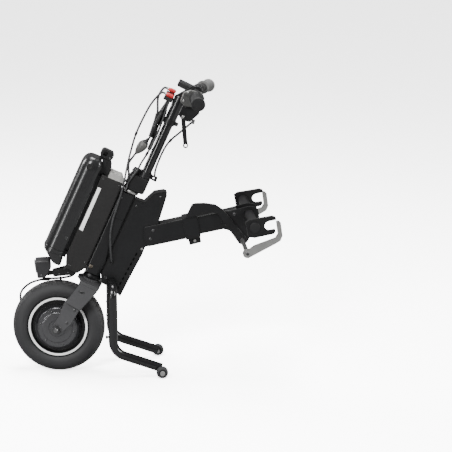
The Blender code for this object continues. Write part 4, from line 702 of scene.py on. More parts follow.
DISC_STEEL = (spun_metal("brake_disc_steel", (0.5, 0.49, 0.47), 0.3, WHEEL, 1.0), "bare_steel")
STEEL = (bright_metal("zinc_plated_steel", (0.46, 0.46, 0.45), 0.34), "bare_steel")
DARK_STEEL = (bright_metal("blackened_steel", (0.09, 0.09, 0.092), 0.4), "bare_steel")
CAP_ALLOY = (blasted("blasted_light_alloy", (0.46, 0.455, 0.44), 0.5), "light_alloy")
THROTTLE_SILVER = (blasted("silver_grey_casting", (0.11, 0.11, 0.107), 0.4), "silver_alloy")
GRIP_GREY = (soft_grip("grip_light_grey", (0.12, 0.12, 0.118), 0.6), "grip_grey")
GRIP_DARK = (soft_grip("grip_black_rubber", (0.007, 0.007, 0.0075), 0.55), "black_moulding")
LENS_CLEAR = (clear_glass("lamp_clear_lens", (0.86, 0.88, 0.9), 0.06), "lamp_lens")
MIRROR = (bright_metal("lamp_reflector", (0.72, 0.72, 0.72), 0.14), "bare_steel")
LED_YELLOW = (moulded("lamp_led_phosphor", (0.75, 0.6, 0.16), 0.5, 0.3), "lamp_lens")
RED_PLUG = (moulded("red_plug_plastic", (0.42, 0.018, 0.02), 0.42, 0.5), "red_plastic")
CABLE_BLACK = (cable_jacket("cable_black_jacket", (0.022, 0.022, 0.023), 0.46), "cable_black")
JUNCTION_GREY = (moulded("junction_grey_plastic", (0.055, 0.054, 0.052), 0.5), "cable_black")
AXLE_STEEL = (bright_metal("axle_dark_steel", (0.2, 0.2, 0.2), 0.36), "bare_steel")
ROLLER_BLACK = (soft_grip("roller_black_rubber", (0.03, 0.03, 0.031), 0.6), "roller_rubber")
SCREEN = (gloss_shell("display_screen_glass", (0.006, 0.007, 0.008), 0.08), "black_moulding")
BRONZE = (bright_metal("bronze_plug", (0.14, 0.122, 0.1), 0.44), "bare_steel")
PRINT_WHITE = (printed_tape("case_white_print", (0.92, 0.92, 0.91)), "frame_paint")


# Fasteners, modelled once and copied

def socket_screw(name, head_radius, head_height, key_radius):
    """Cap screw with a hexagon socket. It stands on the origin and its head looks along Z."""
    rim = 0.12 * head_radius
    piece = turned(name, [(0, 0), (head_radius, 0), (head_radius, head_height - rim),
                          (head_radius - rim, head_height), (0, head_height)], 32, "Z")
    bore = plate("key", arc(0, 0, key_radius, 0, 300, 5), head_height * 0.4, head_height + 1, "Z")
    return cut(piece, bore)


def button_screw(name, head_radius, head_height, key_radius):
    """Screw with a domed head and a hexagon socket."""
    dome = [(head_radius * math.cos(a), head_height * (0.3 + 0.7 * math.sin(a)))
            for a in [math.pi / 2 * i / 6 for i in range(6)]]
    piece = turned(name, [(0, 0), (head_radius, 0), *dome, (head_radius * 0.2, head_height),
                          (0, head_height)], 32, "Z")
    bore = plate("key", arc(0, 0, key_radius, 0, 300, 5), head_height * 0.45, head_height + 1, "Z")
    return cut(piece, bore)


def hexagon_nut(name, across, height, bore_radius):
    """Chamfered nut on the origin, with its hole along Z."""
    piece = plate(name, arc(0, 0, across / math.sqrt(3), 0, 300, 5), 0, height, "Z")
    hole = rod("hole", bore_radius, -1, height + 1, (0, 0), "Z", 32)
    return bevel(cut(piece, hole), 0.5, 2, 50)


CAP_SCREW = socket_screw("cap_screw", 4.5, 4.0, 2.3)
SMALL_SCREW = button_screw("small_screw", 3.0, 1.7, 1.3)
FLAT_SCREW = button_screw("flat_screw", 4.2, 1.8, 1.7)
STOCK = (CAP_SCREW, SMALL_SCREW, FLAT_SCREW)


def fasten(kind, name, axes, look, body, spots, direction, size=1.0):
    """Sets copies of a fastener on the places where it is used, heads looking one way."""
    aim = Vector((0, 0, 1)).rotation_difference(Vector(direction)).to_matrix().to_4x4()
    for i, spot in enumerate(spots):
        piece = copied(kind, f"{name}_{i + 1}")
        fit(piece, axes @ move(*spot) @ aim @ Matrix.Scale(size, 4), look, body)


def bolt_circle(radius, place, start=0):
    """Six even places round an axle along Y, the first at an angle in degrees."""
    angles = [math.radians(60 * i + start) for i in range(6)]
    return [(radius * math.cos(a), place, radius * math.sin(a)) for a in angles]


# Wheel

def make_tyre():
    """Tyre with shoulder grooves and a ring of sipes on each shoulder."""
    ring, section, sides = 100.0, 27.0, 144
    sipe_from, sipe_to, sipe_every, sipe_inset, sipe_depth = 34, 48, 3, 0.9, 0.8
    grooves = ((-30.0, 1.0, 0.9), (30.0, 1.0, 0.9), (-11.0, 0.8, 0.7), (11.0, 0.8, 0.7),
               (-96.0, 0.7, -0.25), (96.0, 0.7, -0.25), (-78.0, 0.6, 0.25), (78.0, 0.6, 0.25))
    angles = {round(-121 + 242 * i / 44, 3): 0.0 for i in range(45)}
    for middle, half, depth in grooves:
        for offset, share in ((-1.6, 0.0), (-1.0, 1.0), (1.0, 1.0), (1.6, 0.0)):
            angles[middle + offset * half] = depth * share
    profile = []
    for angle in sorted(angles, reverse=True):
        if any(abs(angle - middle) < 1.6 * half and angles[angle] == 0.0
               for middle, half, _ in grooves):
            continue
        reach = section - angles[angle]
        a = math.radians(angle)
        profile.append((ring + reach * math.cos(a), reach * math.sin(a)))
    profile += [(85.0, -19.3), (80.2, -19.3), (80.2, 19.3), (85.0, 19.3)]
    piece = turned("tyre_casing", profile, sides)
    edit(piece)
    bpy.ops.object.mode_set(mode="OBJECT")
    for face in piece.data.polygons:
        middle = face.center
        out = math.hypot(middle.x, middle.z)
        around = math.degrees(math.atan2(middle.z, middle.x)) % 360
        over = math.degrees(math.atan2(abs(middle.y), out - ring))
        step = int(around / (360 / sides))
        face.select = sipe_from < over < sipe_to and step % sipe_every == 0
    bpy.ops.object.mode_set(mode="EDIT")
    bpy.ops.mesh.select_mode(type="FACE")
    bpy.ops.mesh.inset(thickness=sipe_inset, use_boundary=True)
    bpy.ops.transform.shrink_fatten(value=-sipe_depth)
    bpy.ops.mesh.select_mode(type="VERT")
    sealed()
    fit(piece, WHEEL, TYRE_BLACK, "wheel", ("tyre",), 40)


def make_rim():
    """Rim with its web and well, and the white tape on each of its walls."""
    right = [(63.5, 12.0), (72.0, 12.0), (72.5, 12.6), (72.5, 21.5), (73.2, 22.3), (83.6, 22.3),
             (84.4, 21.6), (84.4, 20.0), (84.0, 19.6), (79.7, 19.6), (75.5, 9.0)]
    left = [(r, -y) for r, y in right]
    fit(turned("rim_casting", [*left, *right[::-1]], 128), WHEEL, RIM_BLACK, "wheel", ("rim",))
    for side, label in SIDES:
        band = [(75.7, side * 22.3), (81.5, side * 22.3), (81.5, side * 22.5), (81.2, side * 22.65),
                (76.0, side * 22.65), (75.7, side * 22.5)]
        fit(turned(f"rim_tape_{label}", band, 128), WHEEL, RIM_TAPE, "wheel")


def make_motor():
    """Hub motor's turned cover with its dark band, the shell, and the screws of both."""
    left = [(8.4, -28.3), (63.0, -28.3), (63.2, -28.6), (62.6, -30.6), (61.6, -32.2), (58.6, -34.6),
            (55.6, -36.6), (54.3, -37.1), (53.8, -36.5), (52.2, -36.5), (51.7, -37.2), (43.0, -37.7),
            (42.0, -37.9), (41.2, -38.6), (40.7, -39.5), (39.6, -39.9), (24.0, -40.1), (23.5, -39.7),
            (22.3, -39.7), (21.8, -40.2), (15.6, -40.2), (14.9, -41.0), (14.5, -43.4), (13.9, -44.0),
            (8.4, -44.0)]
    fit(turned("motor_cover_turned", left, 128), WHEEL, COVER_GREY, "wheel", ("motor_cover",), 30)
    band = [(54.6, -37.05), (55.6, -36.85), (58.7, -34.8), (61.8, -32.3), (62.8, -30.7), (63.4, -28.5),
            (62.2, -30.4), (61.2, -32.0), (58.4, -34.2)]
    fit(turned("motor_cover_band", band, 128), WHEEL, COVER_DARK, "wheel")
    fasten(SMALL_SCREW, "cover_screw", WHEEL, DARK_STEEL, "wheel",
           bolt_circle(47.2, -37.3, 12), LEFT, 0.9)

    right = [(8.4, -28.0), (63.2, -28.0), (63.2, 27.6), (62.7, 29.2), (62.0, 31.0), (57.6, 34.6),
             (54.2, 36.5), (50.0, 36.8), (49.6, 36.4), (48.4, 36.4), (48.0, 36.9), (31.0, 37.5),
             (29.0, 38.2), (24.6, 45.2), (24.0, 45.7), (8.4, 45.7)]
    fit(turned("motor_shell_turned", right, 128), WHEEL, MOTOR_BLACK, "wheel", ("motor_shell",), 30)
    fasten(SMALL_SCREW, "shell_screw", WHEEL, DARK_STEEL, "wheel",
           bolt_circle(42.5, 36.9, 30), RIGHT, 0.9)


def make_disc():
    """Brake disc with its windows and bolts."""
    eased("brake_disc", "wheel", DISC_STEEL, 0.2, 1)
    fasten(FLAT_SCREW, "disc_bolt", WHEEL, DARK_STEEL, "wheel", bolt_circle(20.0, 48.0), RIGHT, 0.8)


def make_axle():
    """Shouldered axle with its washers and nuts."""
    tip = LEG_OUTER + 6.5
    shoulder = DROPOUT_INNER - GAP
    left = [(0, -tip + 1.2), (1.6, -tip + 1.2), (2.2, -tip + 0.1), (4.6, -tip), (6.0, -tip + 1.4),
            (6.0, -shoulder), (10.0, -shoulder), (10.0, -HUB_BOSS - GAP), (8.1, -HUB_BOSS - GAP)]
    right = [(8.1, 46.3), (10.0, 46.3), (10.0, shoulder), (6.0, shoulder), (6.0, tip - 1.4),
             (4.6, tip), (2.2, tip - 0.1), (1.6, tip - 1.2), (0, tip - 1.2)]
    fit(turned("axle_turned", [*left, *right], 40), WHEEL, AXLE_STEEL, "fork", ("axle",), 30)
    for side, label in SIDES:
        face = DROPOUT_OUTER + GAP
        washer = turned(f"axle_washer_{label}", [(6.3, 0), (12.6, 0), (13.0, 0.4), (13.0, 1.8),
                                                 (12.6, 2.2), (6.3, 2.2)], 48, "Z")
        fit(washer, WHEEL @ move(0, side * face, 0) @ outward(side), DARK_STEEL, "fork")
        nut = hexagon_nut(f"axle_nut_turned_{label}", 18.0, 8.3, 6.3)
        fit(nut, WHEEL @ move(0, side * (face + 2.2), 0) @ outward(side), DARK_STEEL, "fork",
            (f"axle_nut_{label}",))


# Fork

def make_fork():
    """Fork crown and legs, with the screws of the dropouts, and the brake's caliper."""
    eased("fork_crown", "fork", FORK_GREY, 0.7)
    for side, label in SIDES:
        eased(f"fork_leg_{label}", "fork", FORK_GREY, 0.5)
        spots = [(-8.2, side * DROPOUT_OUTER, 29.4), (-3.3, side * DROPOUT_OUTER, 70.2)]
        fasten(FLAT_SCREW, f"dropout_screw_{label}", STEERED, DARK_STEEL, "fork", spots, (0, side, 0))
        spots = [(-10.0, side * (LEG_OUTER - 1.2), 127.0)]
        fasten(CAP_SCREW, f"slot_screw_{label}", STEERED, DARK_STEEL, "fork", spots, (0, side, 0), 0.7)
    eased("brake_caliper", "fork", PART_BLACK, 0.8)
    spots = [(14.0, DROPOUT_OUTER, 47.5), (30.0, DROPOUT_OUTER, 62.0)]
    fasten(CAP_SCREW, "caliper_bolt", STEERED, STEEL, "fork", spots, RIGHT)


# Head, case and battery

def make_head():
    """Housing with its seam, the bearing cups and the plug on its side."""
    front, back = [5, 16, 16, 5], 30.0
    housing = stacked("head_housing_cast", [
        (1.7, 44.5, back - 0.7, HEAD_BOTTOM, front), (1.0, 45.2, back, HEAD_BOTTOM + 0.8, front),
        (1.0, 45.2, back, HEAD_STEP - 1.2, front), (1.4, 44.8, back - 0.4, HEAD_STEP - 0.8, front),
        (2.2, 44.0, back - 1.2, HEAD_STEP - 0.7, front), (2.2, 44.0, back - 1.2, HEAD_STEP + 0.7, front),
        (1.4, 44.8, back - 0.4, HEAD_STEP + 0.8, front), (1.0, 45.2, back, HEAD_STEP + 1.2, front),
        (1.0, 45.2, back, HEAD_TOP - 0.8, front), (1.7, 44.5, back - 0.7, HEAD_TOP, front)])
    bore = rod("bore", STEERER_RADIUS + 0.8, HEAD_BOTTOM - 5, HEAD_TOP + 5, (RAKE, 0), "Z", 48)
    cut(housing, bore)
    fit(housing, LEANED, FRAME_BLACK, "main", ("head_housing",), 30)

    lower = [(14.8, 160.3), (21.6, 160.3), (22.3, 160.7), (24.5, 163.4), (24.5, 165.0), (23.9, 165.6),
             (23.9, 166.6), (24.3, 167.2), (23.2, 173.0), (22.6, 173.6), (21.0, 175.0), (20.2, 176.7),
             (14.8, 176.7)]
    fit(turned("headset_lower_cup", lower, 72, "Z"), LEANED @ move(RAKE, 0, 0), PART_BLACK,
        "main", ("headset_lower",), 30)
    upper = [(14.8, 420.3), (21.2, 420.3), (23.6, 423.4), (24.0, 424.2), (24.0, 427.2), (23.5, 427.8),
             (20.2, 430.4), (19.0, 431.0), (14.8, 431.0)]
    fit(turned("headset_upper_cup", upper, 72, "Z"), LEANED @ move(RAKE, 0, 0), STEEL,
        "main", ("headset_upper",), 30)
    fasten(FLAT_SCREW, "head_plug", LEANED, BRONZE, "main", [(9.6, -back, 195.2)], LEFT, 1.35)
    fasten(SMALL_SCREW, "head_screw", LEANED, DARK_STEEL, "main",
           [(10.0, -back, 404.0), (10.0, -back, 362.0)], LEFT)
    fasten(SMALL_SCREW, "head_screw_right", LEANED, DARK_STEEL, "main",
           [(10.0, back, 404.0), (10.0, back, 362.0), (9.6, back, 195.2)], RIGHT)


def make_gusset():
    """Side plates, their closing strip, the stand's clamp and the bolts through them."""
    for _, label in SIDES:
        eased(f"gusset_{label}", "main", FRAME_BLACK, 0.7)
    eased("gusset_strip", "main", FRAME_BLACK, 0.8)
    eased("stand_clamp", "main", PART_BLACK, 0.6)
    cheek = 16.2
    for side, label in SIDES:
        fasten(SMALL_SCREW, f"gusset_screw_{label}", LEANED, DARK_STEEL, "main",
               [(62.0, side * cheek, 176.0), (58.0, side * cheek, 396.0), (108.0, side * cheek, 445.0)],
               (0, side, 0))
        fasten(CAP_SCREW, f"gusset_bolt_{label}", LEANED, STEEL, "main",
               [(119.5, side * cheek, 291.5)], (0, side, 0), 0.75)
        fasten(CAP_SCREW, f"stand_bolt_{label}", LEVEL, DARK_STEEL, "main",
               [(STAND_X - 17.5, side * cheek, STAND_Z + 15.0)], (0, side, 0), 0.8)


def make_case():
    """Controller case, its side covers with the white bar, and its alloy cap with the cable gland."""
    outline = rounded([(CASE_FRONT + 14, 164), (CASE_REAR - 14, 163), (CASE_REAR, 185),
                       (CASE_REAR, CASE_TOP), (CASE_FRONT, CASE_TOP), (CASE_FRONT, 205)],
                      [3, 5, 5, 1.5, 1.5, 6])
    case = bevel(plate("controller_case_shell", outline, -CASE_HALF, CASE_HALF), 2.2, 4, 60)
    fit(case, LEANED, CASE_BLACK, "main", ("controller_case",), 40)
    cover_outline = rounded([(CASE_FRONT + 15.5, 167.5), (CASE_REAR - 15.5, 166.5),
                             (CASE_REAR - 2.6, 186), (CASE_REAR - 2.6, CASE_TOP - 2.8),
                             (CASE_FRONT + 2.4, CASE_TOP - 2.8), (CASE_FRONT + 2.4, 206)],
                            [3, 5, 5, 2, 2, 6])
    corners = [(CASE_FRONT + 8, CASE_TOP - 9), (CASE_REAR - 8, CASE_TOP - 9), (CASE_REAR - 8, 200),
               (CASE_FRONT + 19, 176)]
    for side, label in SIDES:
        low, high = sorted((side * (CASE_HALF - 0.2), side * (CASE_HALF + 0.7)))
        cover = bevel(plate(f"case_cover_{label}", cover_outline, low, high), 0.35, 2, 60)
        fit(cover, LEANED, CASE_BLACK, "main")
        fasten(SMALL_SCREW, f"case_screw_{label}", LEANED, DARK_STEEL, "main",
               [(t, side * (CASE_HALF + 0.7), s) for t, s in corners], (0, side, 0), 0.75)
    bar = [(-60.6, 406.0), (-51.6, 407.0), (-50.5, 278.0), (-60.9, 279.0)]
    bar = plate("case_white_bar", rounded(bar, 0.8), -CASE_HALF - 0.9, -CASE_HALF - 0.7)
    fit(bar, LEANED, PRINT_WHITE, "main")

    low = CASE_TOP + GAP
    outline = [(-45.6, low), (-3.0, low), (-6.0, CASE_TOP + 14), (-8.5, CASE_TOP + 16.5),
               (-43.0, CASE_TOP + 16.5), (-45.6, CASE_TOP + 14)]
    cap = plate("controller_cap_cast", rounded(outline, [0.5, 0.5, 2, 2, 2, 2]), -28, 28)
    for y in (-12.0, 0.0, 12.0):
        groove = plate("groove", [(-40, CASE_TOP + 15.7), (-12, CASE_TOP + 15.7),
                                  (-12, CASE_TOP + 20), (-40, CASE_TOP + 20)], y - 1.2, y + 1.2)
        cut(cap, groove)
    fit(bevel(cap, 1.0, 3, 40), LEANED, CAP_ALLOY, "main", ("controller_cap",), 40)
    lip = rounded([(-46.4, low), (-2.2, low), (-2.2, low + 2.8), (-46.4, low + 2.8)], 0.5, 2)
    fit(bevel(plate("controller_cap_lip", lip, -29.2, 29.2), 0.6, 2, 50), LEANED, CAP_ALLOY, "main")
    fasten(SMALL_SCREW, "cap_top_screw", LEANED, DARK_STEEL, "main",
           [(t, y, CASE_TOP + 16.5) for t in (-38.5, -13.0) for y in (-22.0, 22.0)], UP, 0.9)
    gland = turned("power_cable_gland", [(0, -1), (5.2, -1), (5.2, 1.2), (4.4, 1.8), (4.4, 4.6),
                                         (3.6, 5.6), (0, 5.6)], 32, "Z")
    fit(gland, LEANED @ move(-4.6, -21.0, CASE_TOP + 8.0) @ turn(90, "Y"), MOULD_BLACK, "main")


def make_battery():
    """Gloss battery pack with its domed top and its angled foot, its button and its lock."""
    front, rear, half = BATTERY_FRONT, BATTERY_REAR, BATTERY_HALF
    corners = [24, 14, 14, 24]
    dome = [(0, 0, 0, 446), (0.3, 0.1, 0.4, 452), (1.2, 0.5, 1.5, 458), (2.9, 1.5, 2.9, 464),
            (5.5, 3.0, 5.0, 469), (8.0, 4.8, 7.3, 472.6), (11.0, 7.0, 10.0, 475.2),
            (14.5, 9.5, 13.5, 477), (18.0, 12.0, 17.0, 477.8), (22.0, 15.0, 23.0, 478.2)]
    rings = [(front - 0.2, rear - 0.8, half - 0.8, BATTERY_SEAM, corners),
             (front - 1.0, rear, half, BATTERY_SEAM + 0.9, corners)]
    rings += [(front + a, rear - b, half - c, s, corners) for a, b, c, s in dome]
    pack = stacked("battery_pack_shell", rings)
    button_t, button_s = front + 21.5, BATTERY_TOP - 26.0
    cut(pack, rod("recess", 7.3, -half - 5, -half + 6, (button_t, button_s), "Y", 40))
    lock_t, lock_s = -84.5, 246.0
    cut(pack, rod("recess", 4.8, -half - 5, -half + 1.2, (lock_t, lock_s), "Y", 40))
    fit(pack, LEANED, SHELL_BLACK, "battery", ("battery_pack",), 38)

    foot = stacked("battery_foot_shell", [
        (front - 0.4, rear - 0.3, half - 1.2, BATTERY_SEAM - 0.3, corners),
        (front - 1.2, rear + 0.5, half - 0.5, BATTERY_SEAM - 1.2, corners),
        (front - 2.0, rear + 1.5, half - 1.0, BATTERY_SEAM - 11.0, corners),
        (front - 1.0, rear + 0.5, half - 2.0, BATTERY_SEAM - 11.4, corners),
        (front - 0.6, rear + 0.5, half - 2.0, BATTERY_SEAM - 12.6, corners),
        (front - 1.4, rear + 1.5, half - 1.2, BATTERY_SEAM - 13.0, corners),
        (front + 14.0, rear + 3.5, half - 3.0, BATTERY_SEAM - 26.0, corners),
        (front + 29.0, rear + 4.5, half - 6.0, BATTERY_SEAM - 38.0, corners),
        (front + 34.0, rear + 3.0, half - 10.0, BATTERY_SEAM - 41.3, corners)])
    fit(bevel(foot, 1.0, 3, 20), LEANED, SHELL_BLACK, "battery", ("battery_foot",), 30)

    button_seat = LEANED @ move(button_t, -half, button_s) @ turn(90, "X")
    bezel = [(7.3, -0.6), (7.3, 0.5), (7.7, 0.9), (8.9, 0.9), (9.5, 0.2), (9.5, -0.6)]
    fit(turned("button_bezel", bezel, 48, "Z"), button_seat, MOULD_BLACK, "battery")
    knob = [(0, -4.2), (7.0, -4.2), (7.0, 0.5), (6.5, 1.2), (5.2, 1.4), (4.4, 1.1), (2.0, 0.8), (0, 0.8)]
    fit(turned("button_cap", knob, 48, "Z"), button_seat, BUTTON_BLACK, "button",
        ("battery_button",), 30)

    barrel = turned("battery_lock", [(0, -0.9), (4.6, -0.9), (4.6, 0.2), (4.1, 0.7), (3.2, 0.7),
                                     (2.9, 0.3), (0, 0.3)], 40, "Z")
    cut(barrel, plate("key_way", [(-0.5, -2.0), (0.5, -2.0), (0.5, 2.0), (-0.5, 2.0)], -0.4, 2, "Z"))
    fit(barrel, LEANED @ move(lock_t, -half, lock_s) @ turn(90, "X"), DARK_STEEL, "battery")


def make_latch():
    """Latch handle that holds the battery, its guard, and the carrier under the battery."""
    outline = rounded([(-28.0, -3.5), (-2.0, -5.0), (6.5, -5.0), (6.5, 18.0), (-28.0, 20.0)],
                      [5, 0.4, 7.6, 7, 9], 6)
    handle = plate("latch_handle_loop", outline, -15, 15)
    window = rounded([(-22.5, 2.0), (-11.5, 1.5), (-10.0, 13.5), (-22.5, 14.5)], 3.0)
    cut(handle, plate("window", window, -20, -4))
    cut(handle, plate("window", window, 4, 20))
    cut(handle, rod("lug_sweep", 13.5, -5.8, 5.8, (0, 0), "Y", 48))
    cut(handle, plate("lug_way", [(-10, -13), (15, -13), (15, 11.5), (-10, 11.5)], -5.8, 5.8))
    fit(bevel(handle, 1.6, 4, 50), LATCH_HANDLE, SHELL_BLACK, "handle", ("latch_handle",), 40)
    for side, label in SIDES:
        fasten(FLAT_SCREW, f"handle_pin_{label}", LATCH_HANDLE, DARK_STEEL, "handle",
               [(0, side * 15, 0)], (0, side, 0), 0.8)
    guard = rounded([(-26.5, -7.0), (-26.5, -8.9), (-21.5, -9.6), (-18.2, -11.4), (-15.6, -14.4),
                     (-13.6, -18.5), (-12.2, -24.0), (-11.6, -31.0), (-11.6, -52.0), (-3.0, -52.0),
                     (-3.0, -7.0)], 0.6, 2)
    guard = plate("latch_guard", guard, -15, 15)
    cut(guard, plate("lug_way", [(-9, -13), (0, -13), (0, 0), (-9, 0)], -5.6, 5.6))
    fit(bevel(guard, 0.4, 2, 40), LATCH_HANDLE, MOULD_BLACK, "main")
    eased("battery_carrier", "main", MOULD_BLACK, 0.8)
    low, high = BATTERY_REAR + 0.8, BATTERY_REAR + CARRIER_DEEP - 0.5
    pad = rounded([(low, 191.5), (high, 189.0), (high, 209.0), (low, 209.0)], [3, 1, 1, 1], 4)
    fit(bevel(plate("carrier_pad", pad, -26, 26), 0.8, 2, 50), LEANED, MOULD_BLACK, "main")


# Lamp

def make_lamp():
    """Headlamp with its reflector bowl, three emitters, fluted lens and tilting screws."""
    outline = rounded([(-17.5, 41.0), (24.0, 42.5), (26.5, 22.0), (10.0, -6.5), (-11.5, -8.2)],
                      [5, 7, 8, 6, 4], 6)
    housing = bevel(plate("lamp_housing_shell", outline, -LAMP_HALF, LAMP_HALF), 4.5, 5, 60)
    window = LAMP_HALF - 6.0
    recess = [(-23.0, 44.0), (-15.0, 35.5), (-10.6, 8.0), (-18.0, -1.0)]
    cut(housing, plate("recess", recess, -window, window))
    way = arc(0, 0, 7.5, 75, 215, 10) + [(-8.0, -14.0), (34.0, -14.0), (34.0, 17.0), (18.0, 15.0)]
    cut(housing, plate("nose_way", way, -5.8, 5.8))
    fin_gap = [(20.5, 14.0), (40.0, 14.0), (40.0, 36.0), (21.5, 36.0)]
    for y in (-16.0, -8.0, 0.0, 8.0, 16.0):
        cut(housing, plate("fin_gap", fin_gap, y - 1.4, y + 1.4))
    fit(housing, LAMP, LAMP_BLACK, "lamp", ("lamp_housing",), 40)

    bezel = rounded([(-window - 1.2, -1.5), (window + 1.2, -1.5), (window + 1.2, 28.0),
                     (-window - 1.2, 28.0)], 3.0)
    inside = rounded([(-window + 0.8, 0.5), (window - 0.8, 0.5), (window - 0.8, 26.0),
                      (-window + 0.8, 26.0)], 2.0)
    tilt = math.degrees(math.atan2(3.9, 26.4))
    face = LAMP @ move(-13.1, 0, 8.6) @ turn(-tilt, "Y")
    frame_ring = plate("lamp_bezel", bezel, -2.6, -0.9, "X")
    cut(frame_ring, plate("opening", inside, -4, 2, "X"))
    fit(bevel(frame_ring, 0.4, 2, 40), face, MOULD_BLACK, "lamp")
    bowl = rounded([(-window + 1.0, 0.8), (window - 1.0, 0.8), (window - 1.0, 25.6),
                    (-window + 1.0, 25.6)], 2.0)
    mirror = plate("lamp_reflector_bowl", bowl, 1.1, 2.7, "X")
    emitters = (-10.5, 0.0, 10.5)
    for y in emitters:
        cup = turned("cup", [(0, 0), (3.2, 0), (5.2, 1.4), (0, 1.4)], 32, "Z")
        cup.data.transform(move(2.2, y, 13.2) @ turn(-90, "Y"))
        cut(mirror, cup)
    fit(bevel(mirror, 0.2, 2, 40), face, MIRROR, "lamp")
    for i, y in enumerate(emitters):
        emitter = turned(f"lamp_emitter_{i + 1}", [(0, -0.2), (1.7, -0.2), (1.7, 0.3), (1.4, 0.8),
                                                   (0.8, 1.0), (0, 1.05)], 24, "Z")
        fit(emitter, face @ move(2.2, y, 13.2) @ turn(-90, "Y"), LED_YELLOW, "lamp")
    lens = plate("lamp_lens_moulding", rounded([(-window + 0.3, 0.1), (window - 0.3, 0.1),
                                                (window - 0.3, 26.4), (-window + 0.3, 26.4)], 2.0),
                 -0.7, 0.9, "X")
    fit(bevel(lens, 0.3, 2, 40), face, LENS_CLEAR, "lamp", ("lamp_lens",), 40)
    for side, label in SIDES:
        fasten(FLAT_SCREW, f"lamp_screw_{label}", LAMP, DARK_STEEL, "lamp",
               [(0, side * (LAMP_HALF - 0.4), 0)], (0, side, 0), 0.9)


def make_lamp_bracket():
    """Arm that carries the lamp, with its nose between the lamp's cheeks and a flange on each side."""
    eased("lamp_bracket", "main", FRAME_BLACK, 0.5)
    flange = rounded([(-13.0, 284.2), (20.0, 292.6), (25.4, 290.6), (47.5, 278.6), (43.0, 275.6),
                      (-10.0, 271.6), (-13.0, 273.0)], [1, 4, 3, 2, 3, 3, 2], 4)
    nose = arc(LAMP_PIVOT[0], LAMP_PIVOT[1], 6.4, 92, 268, 14)
    nose += [(-13.0, 272.6), (20.0, 275.5), (20.0, 286.0), (-13.0, 282.6), (-22.0, 283.8)]
    fit(bevel(plate("lamp_bracket_nose", nose, -5.3, 5.3), 0.4, 2, 50), LEVEL, FRAME_BLACK, "main")
    for side, label in SIDES:
        low, high = sorted((side * 17.6, side * 19.9))
        fit(bevel(plate(f"lamp_bracket_flange_{label}", flange, low, high), 0.5, 2, 50), LEVEL,
            FRAME_BLACK, "main")
        fasten(SMALL_SCREW, f"bracket_screw_{label}", LEVEL, DARK_STEEL, "main",
               [(28.0, side * 19.9, 282.0), (4.0, side * 19.9, 278.5)], (0, side, 0), 0.8)


# Column, bar and controls

def make_stem():
    """Stem block with its pinch slit and bolts."""
    block = plate("stem_block_forged", rounded([(-20, BLOCK_BOTTOM), (37, BLOCK_BOTTOM),
                                                (37, BLOCK_TOP), (-20, BLOCK_TOP)], [5, 7, 4, 7], 6),
                  -19, 19)
    bevel(block, 3.0, 4, 50)
    cut(block, plate("pinch", [(-30, BLOCK_BOTTOM - 5), (-10, BLOCK_BOTTOM - 5),
                                    (-10, BLOCK_TOP + 5), (-30, BLOCK_TOP + 5)], -0.7, 0.7))
    fit(block, STEERED, FRAME_BLACK, "fork", ("stem_block",), 40)
    for side, name in ((-1, "pinch_bolt"), (1, "pinch_bolt_right")):
        fasten(CAP_SCREW, name, STEERED, DARK_STEEL, "fork",
               [(-14.5, side * 19.0, s) for s in (BLOCK_BOTTOM + 11, BLOCK_TOP - 11)],
               (0, side, 0), 0.75)


def make_column():
    """Column tube with its clamp ring and knob."""
    tube_profile = [(10.5, 455.0), (12.7, 455.0), (12.7, COLUMN_TOP - 0.6), (12.1, COLUMN_TOP),
                    (10.9, COLUMN_TOP), (10.5, COLUMN_TOP - 0.4)]
    fit(turned("column_tube_drawn", tube_profile, 64, "Z"), RISER, TUBE_BLACK, "fork",
        ("column_tube",), 30)
    low = BLOCK_TOP + GAP
    ring = turned("column_clamp_ring", [(13.0, low), (16.2, low), (16.7, low + 0.6), (16.7, low + 7.4),
                                        (16.3, low + 7.9), (16.3, low + 8.8), (16.7, low + 9.3),
                                        (16.7, low + 16.1), (16.1, low + 16.7), (13.0, low + 16.7)],
                  64, "Z")
    fit(ring, RISER, FRAME_BLACK, "fork", ("column_clamp",), 30)
    high = BLOCK_TOP + 17.0
    ear = plate("column_clamp_ear", rounded([(-17.0, low + 1), (7.0, low + 1), (7.0, high - 1),
                                             (-17.0, high - 1)], [6, 0.5, 0.5, 6]), -9, 9)
    cut(ear, plate("slit", [(-20, low - 2), (10, low - 2), (10, high + 2), (-20, high + 2)],
                        -0.8, 0.8))
    cut(ear, rod("knob_hole", 3.3, -15, 15, (-9.5, BLOCK_TOP + 9.5)))
    fit(bevel(ear, 0.8, 3, 40), STEERED, FRAME_BLACK, "fork")
    tab = plate("column_clamp_tab", rounded([(35.0, low + 3), (55.0, low + 1), (53.0, high - 1),
                                             (35.0, high - 2)], [0.5, 3, 3, 0.5]), -3, 3)
    cut(tab, rod("tab_hole", 2.4, -10, 10, (44.0, low + 8.5), "Y", 40))
    fit(bevel(tab, 0.6, 3, 40), STEERED, FRAME_BLACK, "fork")

    lobes = [((8.15 + 0.5 * math.cos(8 * a)) * math.cos(a), (8.15 + 0.5 * math.cos(8 * a)) * math.sin(a))
             for a in [math.tau * i / 96 for i in range(96)]]
    head = bevel(plate("knob_lobed", lobes, -19.5, -9.6), 1.0, 3, 60)
    fit(head, KNOB, MOULD_BLACK, "knob", ("column_knob",), 40)
    boss = turned("knob_boss", [(0, -20.3), (4.2, -20.3), (5.0, -19.4), (5.0, -9.3), (3.0, -9.3),
                                (3.0, 11.4), (2.4, 12.0), (0, 12.0)], 40)
    fit(boss, KNOB, DARK_STEEL, "knob")


